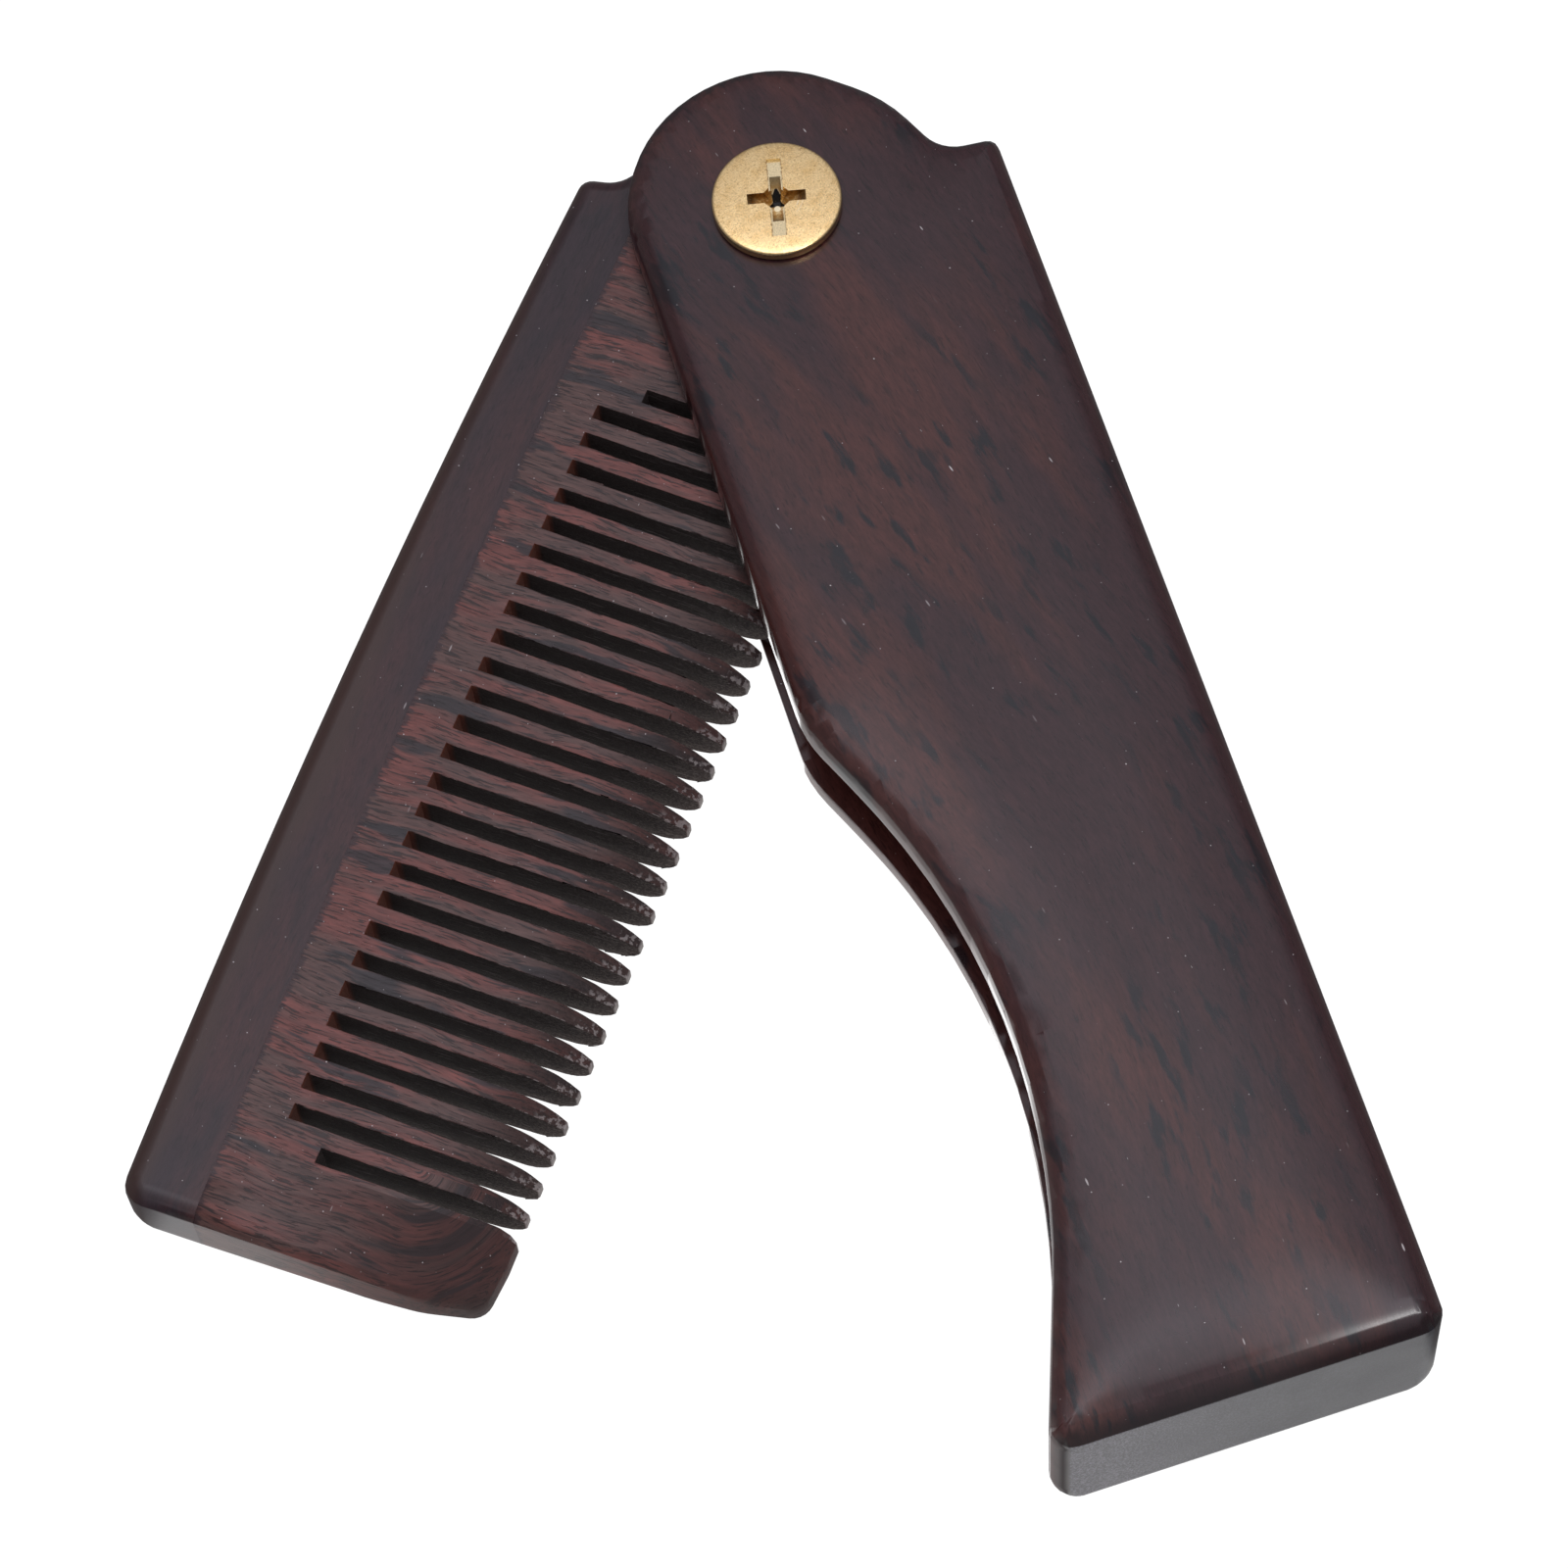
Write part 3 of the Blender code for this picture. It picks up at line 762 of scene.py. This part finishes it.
def sawnColour(tree, at, marks, speck, towardsTip):
    look = toothLook
    greyShare = timesPlus(tree, towardsTip, look["greyTowardsTip"], look["greyShare"])
    colour = lay(tree, look["sawDark"], look["sawGrey"], fade(tree, speck, *look["greySpecks"]), greyShare)
    along = times(tree, fade(tree, at["X"], *look["paleBetween"]), look["paleShare"])
    colour = lay(tree, colour, look["sawPale"], fade(tree, marks, *look["paleMarks"]), along)
    return lay(tree, colour, look["rootRed"], fade(tree, at["X"], *look["rootBetween"]), look["rootShare"])


def arrisHighlightMask(tree, place, own, towardsTip):
    # a painted highlight on the eased front arrises of the teeth, in scattered places
    look = toothLook
    normal = axes(tree, place["Normal"])
    sideways = fade(tree, calc(tree, "ABSOLUTE", normal["Y"]), *look["arrisSideways"])
    paintedArrisHighlight = times(tree, sideways, fade(tree, normal["Z"], *look["arrisUp"]),
                  fade(tree, normal["Z"], *look["arrisNotFlat"]))
    share = timesPlus(tree, towardsTip, look["highlightTowardsTip"], look["highlightShare"])
    return times(tree, paintedArrisHighlight, times(tree, noiseAt(tree, own, look["highlightPlaces"]), share))


def toothMaterial():
    look = toothLook
    material, tree, shader, place = newMaterial("darkWoodTeeth")
    own = inMillimetres(tree, place, combTurn)
    at, grain = curvedGrain(tree, own)
    colour, boardHeight = boardColour(tree, grain)

    # painted shade: the eased edges are darkened towards red
    colour = lay(tree, colour, look["shadedEdgeRed"], leanOf(tree, place, *look["edgeLean"]), look["shadedEdgeShare"])
    onGuard = times(tree, calc(tree, "LESS_THAN", at["Y"], look["teethBottom"]),
                    fade(tree, at["X"], *look["guardBetween"]))
    colour = lay(tree, colour, look["guardDark"], onGuard, look["guardShare"])
    colour = mixColours(tree, glueMask(tree, own, at), colour, look["glueDark"])

    besideTeeth = inside(tree, at["Y"], look["teethBottom"], look["teethTop"])
    amongTeeth = times(tree, inside(tree, at["X"], look["rootLine"], look["tipLine"]), besideTeeth)
    sawn = times(tree, leanOf(tree, place, *look["wallLean"]), amongTeeth)
    towardsTip = times(tree, fade(tree, at["X"], *look["tipwards"]), besideTeeth)
    marks = noiseAt(tree, own, look["sawMarks"])
    speck = noiseAt(tree, own, look["sawSpecks"])
    # painted shade: the teeth grow darker, speckled brown towards their tips
    tipLight = timesPlus(tree, swing(tree, speck), look["tipSpeckle"], 1.0)
    tipShadeColour = scaled(tree, look["tipShadeBrown"], tipLight)
    colour = lay(tree, colour, tipShadeColour, towardsTip, look["tipShare"])
    colour = mixColours(tree, sawn, colour, sawnColour(tree, at, marks, speck, towardsTip))
    tip = fade(tree, at["X"], *look["tipPaleBetween"])
    colour = lay(tree, colour, look["tipPale"], tip, besideTeeth, look["tipPaleShare"])
    # painted highlight: pale lines on the front arrises, more of them towards the tips
    paintedArrisHighlight = arrisHighlightMask(tree, place, own, towardsTip)
    colour = lay(tree, colour, look["arrisHighlight"], paintedArrisHighlight, besideTeeth)
    colour = dusted(tree, colour, own, place, look)

    matt = times(tree, calc(tree, "MAXIMUM", towardsTip, onGuard), look["mattShare"])
    matt = calc(tree, "MAXIMUM", sawn, matt)
    roughness = timesPlus(tree, matt, look["mattRoughness"], look["roughness"])
    height = timesPlus(tree, times(tree, marks, sawn), look["sawRelief"], boardHeight)
    finishShader(tree, shader, look, colour, roughness, height)
    return material


teethShape = {
    "weld": 0.03 * mm,
    "cutStep": 1.3,  # millimetres between the places where the walls of a saw cut may bend
    "firstCut": -7.6,
    "lastCut": 9.6,
    "nearGuard": (6.6, 7.5),  # cuts beside the guard's rounded edges keep their shading narrow
    "nearEnd": (-86.4, -87.3),
    "layers": (4.9, 5.8, 6.75, 7.7, 8.6),
    # the sawn walls between these lines may stray this far from straight, and less near the tips
    "wander": 0.07 * mm,
    "waves": (0.45, 2.3, 0.8),
    "wanderAbove": toothLook["teethBottom"] + 0.4,
    "wanderBelow": toothLook["teethTop"] - 0.3,
    "wanderFrom": toothLook["rootLine"] - 0.2,
    "wallFacing": 0.7,
    "calmOver": 2.0,
    "leastWander": 0.35,
    "glueSide": -9.0,
    "weight": 50,
}


def roughenCuts(bm):
    # cuts the teeth into short stretches and layers, then lets the sawn walls wander a little
    shape = teethShape
    x = shape["firstCut"]
    while x < shape["lastCut"]:
        cutThrough(bm, 0, x)
        x += shape["cutStep"]
    for axis, places in ((0, shape["nearGuard"]), (1, shape["nearEnd"]), (2, shape["layers"])):
        for place in places:
            cutThrough(bm, axis, place)
    bm.normal_update()
    low = shape["wanderAbove"] * mm
    high = shape["wanderBelow"] * mm
    left = shape["wanderFrom"] * mm
    for vert in bm.verts:
        among = low < vert.co.y < high and vert.co.x > left
        if among and any(abs(face.normal.y) > shape["wallFacing"] for face in vert.link_faces):
            spot = Vector([part * wave / mm for part, wave in zip(vert.co, shape["waves"])])
            full = (shape["lastCut"] * mm - vert.co.x) / (shape["calmOver"] * mm)
            full = min(max(full, 0.0), 1.0)
            share = shape["leastWander"] + (1 - shape["leastWander"]) * full
            vert.co.y += noise.noise(spot) * shape["wander"] * share


def makeTeeth():
    bm = mergedCopy("comb_teeth", teethShape["weld"])
    turnAbout(bm, combTurn)
    roughenCuts(bm)
    bm.normal_update()
    glued = [face for face in bm.faces if face.normal.x < -woodEdges["glueFacing"]]
    glued = [face for face in glued if face.calc_center_median().x < teethShape["glueSide"] * mm]
    easeEdges(bm, keep=glued)
    turnAbout(bm, -combTurn)
    finishPiece("combTeethWood", bm, toothMaterial(), "comb_teeth", weight=teethShape["weight"])


# the screw is turned afresh, a little domed, with its recesses cut in; all sizes in millimetres
screwShape = {
    "top": 14.65,
    "under": 13.65,
    "headRadius": 5.0,
    "underChamfer": 0.1,
    "domeDrop": 0.15,
    "domePower": 3.0,
    "domeRings": (0.93, 0.85, 0.75, 0.62, 0.45, 0.25, 0.1),
    "rimRadius": 0.22,
    "rimSteps": 4,
    "shankRadius": 1.5,
    "shankEnd": 3.4,
    "shankChamfer": 0.3,
    "sides": 96,
    "recessTurn": -13.0,  # degrees
    "recessDepth": 1.8,
    "armLength": 2.2,
    "armFloorLength": 0.55,
    "armWidth": 0.42,
    "armFloorWidth": 0.26,
    "coneRadius": 1.02,
    "coneFloorRadius": 0.30,
    "coneSides": 8,
    "coneSink": 0.05,
    "slotHalfWidth": 0.55,
    "slotHalfLength": 3.4,
    "slotDepth": 0.32,
    "cutterRise": 0.3,  # how far the cutters stand out of the head
    "spinMerge": 0.0005 * mm,
    "mergeWithin": 0.002 * mm,
    "sharpFrom": 32,
}
brassLook = {
    "pale": (0.93, 0.68, 0.34, 1),
    "deep": (0.82, 0.56, 0.24, 1),
    "patches": ((0.9, 0.9, 0.9), 4.0, 0.6, 0.38, 0.78),
    "speckle": ((9.0, 9.0, 9.0), 3.0, 0.75),
    "speckleLight": 1.3,
    "grain": ((5.0, 5.0, 5.0), 2.0, 0.8),
    "spots": (0.42, 0.27, 0.10, 1),
    "spotsBetween": (0.54, 0.68),
    "spotsShare": 0.55,
    "worn": (0.80, 0.66, 0.39, 1),  # the shallow slot's floor
    "wornWithin": 0.05,
    "scratches": ((1.70, 0.035, -20.0), (2.05, 0.02, -35.0)),  # radius, half width, direction
    "scratchPale": (1.0, 0.92, 0.75, 1),
    "scratchEdge": 0.4,
    "scratchAhead": (0.88, 0.95),
    "scratchShare": 0.6,
    "wallDark": (0.26, 0.14, 0.038, 1),
    "wallLean": (0.8, 0.4),
    "wallsWithin": 2.7,
    "wallShare": 0.75,
    # the deep recess has grime, which begins and is full at these heights, with glints in it
    "grime": (0.56, 0.32, 0.08, 1),
    "grimeBetween": (14.28, 13.5),
    "grimeShare": 0.8,
    "recessReach": 2.6,
    "glint": (1.0, 0.80, 0.42, 1),
    "glints": ((3.6, 3.6, 2.6), 2.0, 0.6, 0.52, 0.58),
    "glintShare": 0.85,
    # its upper wall is painted with a black reflection, a throat that narrows up to here, and a painted
    # highlight as a pale rim beside it
    "throatTop": 13.62,
    "throatHalfWidth": 0.10,
    "throatSpread": 0.62,
    "throatEdge": 0.03,
    "throatHighlightRim": 0.04,
    "throatReflectionBlack": (0.01, 0.01, 0.01, 1),
    "upperHalf": (0.05, 0.2),
    "underTop": (-0.06, 0.0),
    "shineBelow": 12.93,
    "shineRadius": (0.30, 0.21),
    "shine": (1.0, 0.86, 0.56, 1),
    # the shallow slot's long edges are burred and dark away from the middle
    "burrWidth": 0.09,
    "burrEdge": 0.4,
    "burrGrain": (0.40, 0.60),
    "burrBeyond": (1.0, 1.6),
    "burrShare": 0.8,
    "grimeDull": -0.65,
    "roughness": 0.16,
    "speckleRoughness": 0.16,
    "reliefDepth": 0.005 * mm,
}


def scratched(tree, colour, flat, radius):
    look = brassLook
    outward = vectorCalc(tree, "NORMALIZE", flat)
    for size, width, angle in look["scratches"]:
        towards = (math.cos(math.radians(angle)), math.sin(math.radians(angle)), 0)
        away = calc(tree, "ABSOLUTE", calc(tree, "SUBTRACT", radius, size))
        near = fade(tree, away, width, width * look["scratchEdge"])
        ahead = vectorCalc(tree, "DOT_PRODUCT", outward, towards, output="Value")
        arc = fade(tree, ahead, *look["scratchAhead"])
        colour = lay(tree, colour, look["scratchPale"], near, arc, look["scratchShare"])
    return colour


def paintedThroatReflection(tree, colour, across, along, height, inShank):
    # painted reflection: a black patch on the recess's upper wall, with a painted highlight as a pale rim
    # beside it
    look = brassLook
    below = calc(tree, "SUBTRACT", look["throatTop"], height)
    upper = times(tree, fade(tree, along, *look["upperHalf"]), inShank, fade(tree, below, *look["underTop"]))
    halfWidth = timesPlus(tree, below, look["throatSpread"], look["throatHalfWidth"])
    beyond = calc(tree, "SUBTRACT", across, halfWidth)
    offRim = calc(tree, "ABSOLUTE", calc(tree, "SUBTRACT", beyond, look["throatHighlightRim"]))
    colour = lay(tree, colour, look["shine"], fade(tree, offRim, look["throatHighlightRim"], 0.0), upper)
    black = fade(tree, beyond, look["throatEdge"], -look["throatEdge"])
    return lay(tree, colour, look["throatReflectionBlack"], black, upper)


def burred(tree, colour, across, along, radius, grain):
    look = brassLook
    fromEdge = calc(tree, "ABSOLUTE", calc(tree, "SUBTRACT", across, screwShape["slotHalfWidth"]))
    onSlot = calc(tree, "LESS_THAN", calc(tree, "ABSOLUTE", along), screwShape["slotHalfLength"])
    burr = times(tree, fade(tree, fromEdge, look["burrWidth"], look["burrWidth"] * look["burrEdge"]), onSlot,
                 fade(tree, grain, *look["burrGrain"]), fade(tree, radius, *look["burrBeyond"]))
    return lay(tree, colour, look["wallDark"], burr, look["burrShare"])


def brassMaterial():
    look = brassLook
    material, tree, shader, place = newMaterial("paleBrass")
    own = inMillimetres(tree, place)
    height = axes(tree, own)["Z"]
    flat = vectorCalc(tree, "MULTIPLY", own, (1.0, 1.0, 0.0))
    radius = vectorCalc(tree, "LENGTH", flat, output="Value")
    recess = axes(tree, inMillimetres(tree, place, -screwShape["recessTurn"]))
    across = calc(tree, "ABSOLUTE", recess["X"])
    inShank = calc(tree, "LESS_THAN", radius, look["recessReach"])
    deep = times(tree, fade(tree, height, *look["grimeBetween"]), inShank)
    speckle = noiseAt(tree, own, look["speckle"])
    grain = noiseAt(tree, own, look["grain"])

    colour = mixColours(tree, noiseAt(tree, own, look["patches"]), look["pale"], look["deep"])
    colour = lay(tree, colour, look["spots"], fade(tree, grain, *look["spotsBetween"]), look["spotsShare"])
    slotFloor = screwShape["top"] - screwShape["slotDepth"]
    fromFloor = calc(tree, "ABSOLUTE", calc(tree, "SUBTRACT", height, slotFloor))
    colour = mixColours(tree, calc(tree, "LESS_THAN", fromFloor, look["wornWithin"]), colour, look["worn"])
    colour = scratched(tree, colour, flat, radius)
    colour = scaled(tree, colour, timesPlus(tree, swing(tree, speckle), look["speckleLight"], 1.0))

    colour = lay(tree, colour, look["wallDark"], leanOf(tree, place, *look["wallLean"]),
                 calc(tree, "LESS_THAN", radius, look["wallsWithin"]), look["wallShare"])
    colour = lay(tree, colour, look["grime"], deep, look["grimeShare"])
    colour = lay(tree, colour, look["glint"], noiseAt(tree, own, look["glints"]), deep, look["glintShare"])
    colour = paintedThroatReflection(tree, colour, across, recess["Y"], height, inShank)
    shine = times(tree, calc(tree, "LESS_THAN", height, look["shineBelow"]),
                  fade(tree, radius, *look["shineRadius"]))
    colour = mixColours(tree, shine, colour, look["shine"])
    colour = burred(tree, colour, across, recess["Y"], radius, grain)

    dull = calc(tree, "MAXIMUM", calc(tree, "SUBTRACT", deep, shine), 0.0)
    feed(tree, shader, {"Metallic": timesPlus(tree, dull, look["grimeDull"], 1.0)})
    roughness = timesPlus(tree, speckle, look["speckleRoughness"], look["roughness"])
    finishShader(tree, shader, look, colour, roughness, speckle)
    return material


def turnedBody(profile):
    # spins rows of radius and height, in millimetres, round Z and closes both ends
    bm = bmesh.new()
    verts = [bm.verts.new((radius * mm, 0, z * mm)) for radius, z in profile]
    edges = [bm.edges.new(pair) for pair in zip(verts, verts[1:])]
    bmesh.ops.spin(bm, geom=verts + edges, cent=(0, 0, 0), axis=(0, 0, 1), dvec=(0, 0, 0),
                   angle=math.tau, steps=screwShape["sides"], use_merge=True, use_duplicate=False)
    bmesh.ops.remove_doubles(bm, verts=bm.verts, dist=screwShape["spinMerge"])
    bmesh.ops.holes_fill(bm, edges=[edge for edge in bm.edges if edge.is_boundary], sides=0)
    bmesh.ops.recalc_face_normals(bm, faces=bm.faces)
    return bm


def taperedBox(halfLength, halfWidth, floorLength, floorWidth, top, floor, turn):
    bm = bmesh.new()
    bmesh.ops.create_cube(bm, size=2.0)
    for vert in bm.verts:
        high = vert.co.z > 0
        vert.co.x *= (halfLength if high else floorLength) * mm
        vert.co.y *= (halfWidth if high else floorWidth) * mm
        vert.co.z = (top if high else floor) * mm
    turnAbout(bm, turn)
    return bm


def cutAway(bm, cutters):
    # cuts each shape out of the body in turn, and leaves only the body
    work = objectFrom(bm, "screwBlank")
    tools = [objectFrom(shape, "screwCutter") for shape in cutters]
    for tool in tools:
        cut = work.modifiers.new(tool.name, "BOOLEAN")
        cut.operation = "DIFFERENCE"
        cut.solver = "EXACT"
        cut.object = tool
    result = bmesh.new()
    result.from_object(work, bpy.context.evaluated_depsgraph_get())
    for item in tools + [work]:
        bpy.data.objects.remove(item, do_unlink=True)
    return result


def screwProfile():
    size = screwShape
    edge = size["headRadius"] - size["rimRadius"]
    rimTop = size["top"] - size["domeDrop"]
    profile = [
        (size["shankRadius"] - size["shankChamfer"], size["shankEnd"]),
        (size["shankRadius"], size["shankEnd"] + size["shankChamfer"]),
        (size["shankRadius"], size["under"]),
        (size["headRadius"] - size["underChamfer"], size["under"]),
        (size["headRadius"], size["under"] + size["underChamfer"]),
    ]
    for step in range(size["rimSteps"] + 1):
        angle = math.radians(90 * step / size["rimSteps"])
        radius = edge + size["rimRadius"] * math.cos(angle)
        profile.append((radius, rimTop - size["rimRadius"] * (1 - math.sin(angle))))
    for share in size["domeRings"]:
        profile.append((edge * share, size["top"] - size["domeDrop"] * share ** size["domePower"]))
    return profile


def makeScrew(material):
    size = screwShape
    top = size["top"] + size["cutterRise"]
    floor = size["top"] - size["recessDepth"]
    wider = 1 + size["cutterRise"] / size["recessDepth"]
    slot = taperedBox(size["slotHalfWidth"], size["slotHalfLength"], size["slotHalfWidth"],
                      size["slotHalfLength"], top, size["top"] - size["slotDepth"], size["recessTurn"])
    cutters = [slot]
    for quarter in (0, 90):
        cutters.append(taperedBox(size["armLength"] * wider, size["armWidth"] * wider, size["armFloorLength"],
                                  size["armFloorWidth"], top, floor, size["recessTurn"] + quarter))
    cone = bmesh.new()
    bmesh.ops.create_cone(cone, cap_ends=True, segments=size["coneSides"], depth=(top - floor) * mm,
                          radius1=size["coneFloorRadius"] * mm, radius2=size["coneRadius"] * wider * mm)
    middle = (top + floor) / 2 - size["coneSink"]
    bmesh.ops.translate(cone, vec=(0, 0, middle * mm), verts=cone.verts)
    turnAbout(cone, size["recessTurn"] + 180 / size["coneSides"])
    cutters.append(cone)
    bm = cutAway(turnedBody(screwProfile()), cutters)
    bmesh.ops.remove_doubles(bm, verts=bm.verts, dist=size["mergeWithin"])
    finishPiece("screwBrass", bm, material, "pivot_screw", sharpFrom=size["sharpFrom"])


postShape = {
    "edge": 0.05 * mm,
    "sharperThan": 50,  # degrees
    "sharpFrom": 40,
}


def makePost(material):
    bm = mergedCopy("pivot_post")
    easeEdges(bm, width=postShape["edge"], sharperThan=postShape["sharperThan"])
    finishPiece("postBrass", bm, material, "pivot_post", sharpFrom=postShape["sharpFrom"])


makeHandle()
makeSpine()
makeTeeth()
brass = brassMaterial()
makeScrew(brass)
makePost(brass)


# floor, light and camera
studio = {
    "floorSize": 3.0,
    "floorDrop": 0.02 * mm,
    "floorColour": (0.12, 0.12, 0.12, 1),
    "floorRoughness": 0.9,
    "floorGlow": 1.0,
    # gloss sees the floor bright only between comb and handle and in front of them, millimetres
    "dimFloor": 0.12,
    "leftOfComb": (-18.0, -15.0),
    "rightOfHandle": (20.5, 18.0),
    "aboveTeeth": (-12.0, -32.0),
    "besideGlow": 1.2,  # more glow in gloss, beside the handle and behind its end
    "besideHandle": (-19.0, -15.0),
    "aboveEnd": (-97.0, -93.0),
    "tint": (1.0, 0.985, 1.08, 1),
    # brightness by direction: low over the floor in front and behind, high up, and a softbox overhead
    "lowFront": 0.16,
    "lowBack": 0.28,
    "frontToBack": (-0.5, 0.4),
    "high": 0.75,
    "lowToHigh": (0.55, 0.88),  # heights of the direction where the low light ends
    "softbox": 1.9,
    "softboxAim": (0.0, 0.10, 0.995),
    "softboxEdges": (19.0, 9.0),  # degrees from the aim where it starts and is full
    "seenSky": 1.05,
    # a small lamp over the right of the handle's end, which its rounded edge catches
    "spotPlace": (0.165, -0.262, 0.72),
    "spotAim": (0.01, -0.095, 0.01),
    "spotSize": (0.09, 0.045),
    "spotPower": 0.8,
}
camera = {
    "place": (-0.05055, -0.21898, 0.39432),
    "turn": (24.685, 2.488, -17.356),  # degrees
    "lens": 131.83,
    "sensor": 36.0,
    "clipStart": 0.01,
}


def floorPaint():
    material, tree, shader, place = newMaterial("paleFloorPaint")
    folded = axes(tree, inMillimetres(tree, place, combTurn))
    at = axes(tree, inMillimetres(tree, place))
    bright = times(tree, fade(tree, folded["X"], *studio["leftOfComb"]),
                   fade(tree, at["X"], *studio["rightOfHandle"]), fade(tree, at["Y"], *studio["aboveTeeth"]))
    inGloss = timesPlus(tree, bright, studio["floorGlow"] - studio["dimFloor"], studio["dimFloor"])
    beside = times(tree, fade(tree, at["X"], *studio["besideHandle"]),
                   fade(tree, at["Y"], *studio["aboveEnd"]), bright)
    inGloss = timesPlus(tree, beside, studio["besideGlow"], inGloss)
    isGloss = put(tree, "ShaderNodeLightPath").outputs["Is Glossy Ray"]
    feed(tree, shader, {
        "Base Color": studio["floorColour"],
        "Roughness": studio["floorRoughness"],
        "Specular IOR Level": 0.0,
        "Emission Color": (1, 1, 1, 1),
        "Emission Strength": mixNumbers(tree, isGloss, studio["floorGlow"], inGloss),
    })
    return material


def makeFloor():
    bm = bmesh.new()
    bmesh.ops.create_grid(bm, x_segments=1, y_segments=1, size=studio["floorSize"] / 2)
    bmesh.ops.translate(bm, vec=(0, 0, -studio["floorDrop"]), verts=bm.verts)
    floor = objectFrom(bm, "paleFloor")
    floor.data.materials.append(floorPaint())


def makeSky():
    world = bpy.data.worlds.new("softStudio")
    world.use_nodes = True
    tree = world.node_tree
    sky = tree.nodes["Background"]
    direction = put(tree, "ShaderNodeTexCoord").outputs["Generated"]
    towards = axes(tree, direction)
    back = fade(tree, towards["Y"], *studio["frontToBack"])
    low = mixNumbers(tree, back, studio["lowFront"], studio["lowBack"])
    light = mixNumbers(tree, fade(tree, towards["Z"], *studio["lowToHigh"]), low, studio["high"])
    aim = Vector(studio["softboxAim"]).normalized()
    near = vectorCalc(tree, "DOT_PRODUCT", direction, aim, output="Value")
    outer, inner = [math.cos(math.radians(angle)) for angle in studio["softboxEdges"]]
    light = timesPlus(tree, fade(tree, near, outer, inner), studio["softbox"], light)
    seen = put(tree, "ShaderNodeLightPath").outputs["Is Camera Ray"]
    feed(tree, sky, {"Color": mixColours(tree, seen, studio["tint"], (1, 1, 1, 1)),
                     "Strength": mixNumbers(tree, seen, light, studio["seenSky"])})
    bpy.context.scene.world = world


def makeSpot():
    data = bpy.data.lights.new("cornerLamp", "AREA")
    data.shape = "RECTANGLE"
    data.size, data.size_y = studio["spotSize"]
    data.energy = studio["spotPower"]
    lamp = addObject("cornerLamp", data)
    lamp.location = studio["spotPlace"]
    towards = Vector(studio["spotAim"]) - Vector(studio["spotPlace"])
    lamp.rotation_euler = towards.to_track_quat("-Z", "Y").to_euler()


def makeCamera():
    data = bpy.data.cameras.new("photoCamera")
    data.lens = camera["lens"]
    data.sensor_width = camera["sensor"]
    data.clip_start = camera["clipStart"]
    item = addObject("photoCamera", data)
    item.location = camera["place"]
    item.rotation_euler = Euler([math.radians(angle) for angle in camera["turn"]])
    bpy.context.scene.camera = item


makeFloor()
makeSky()
makeSpot()
makeCamera()
bpy.context.scene.view_settings.view_transform = "Standard"
print("studio ready")
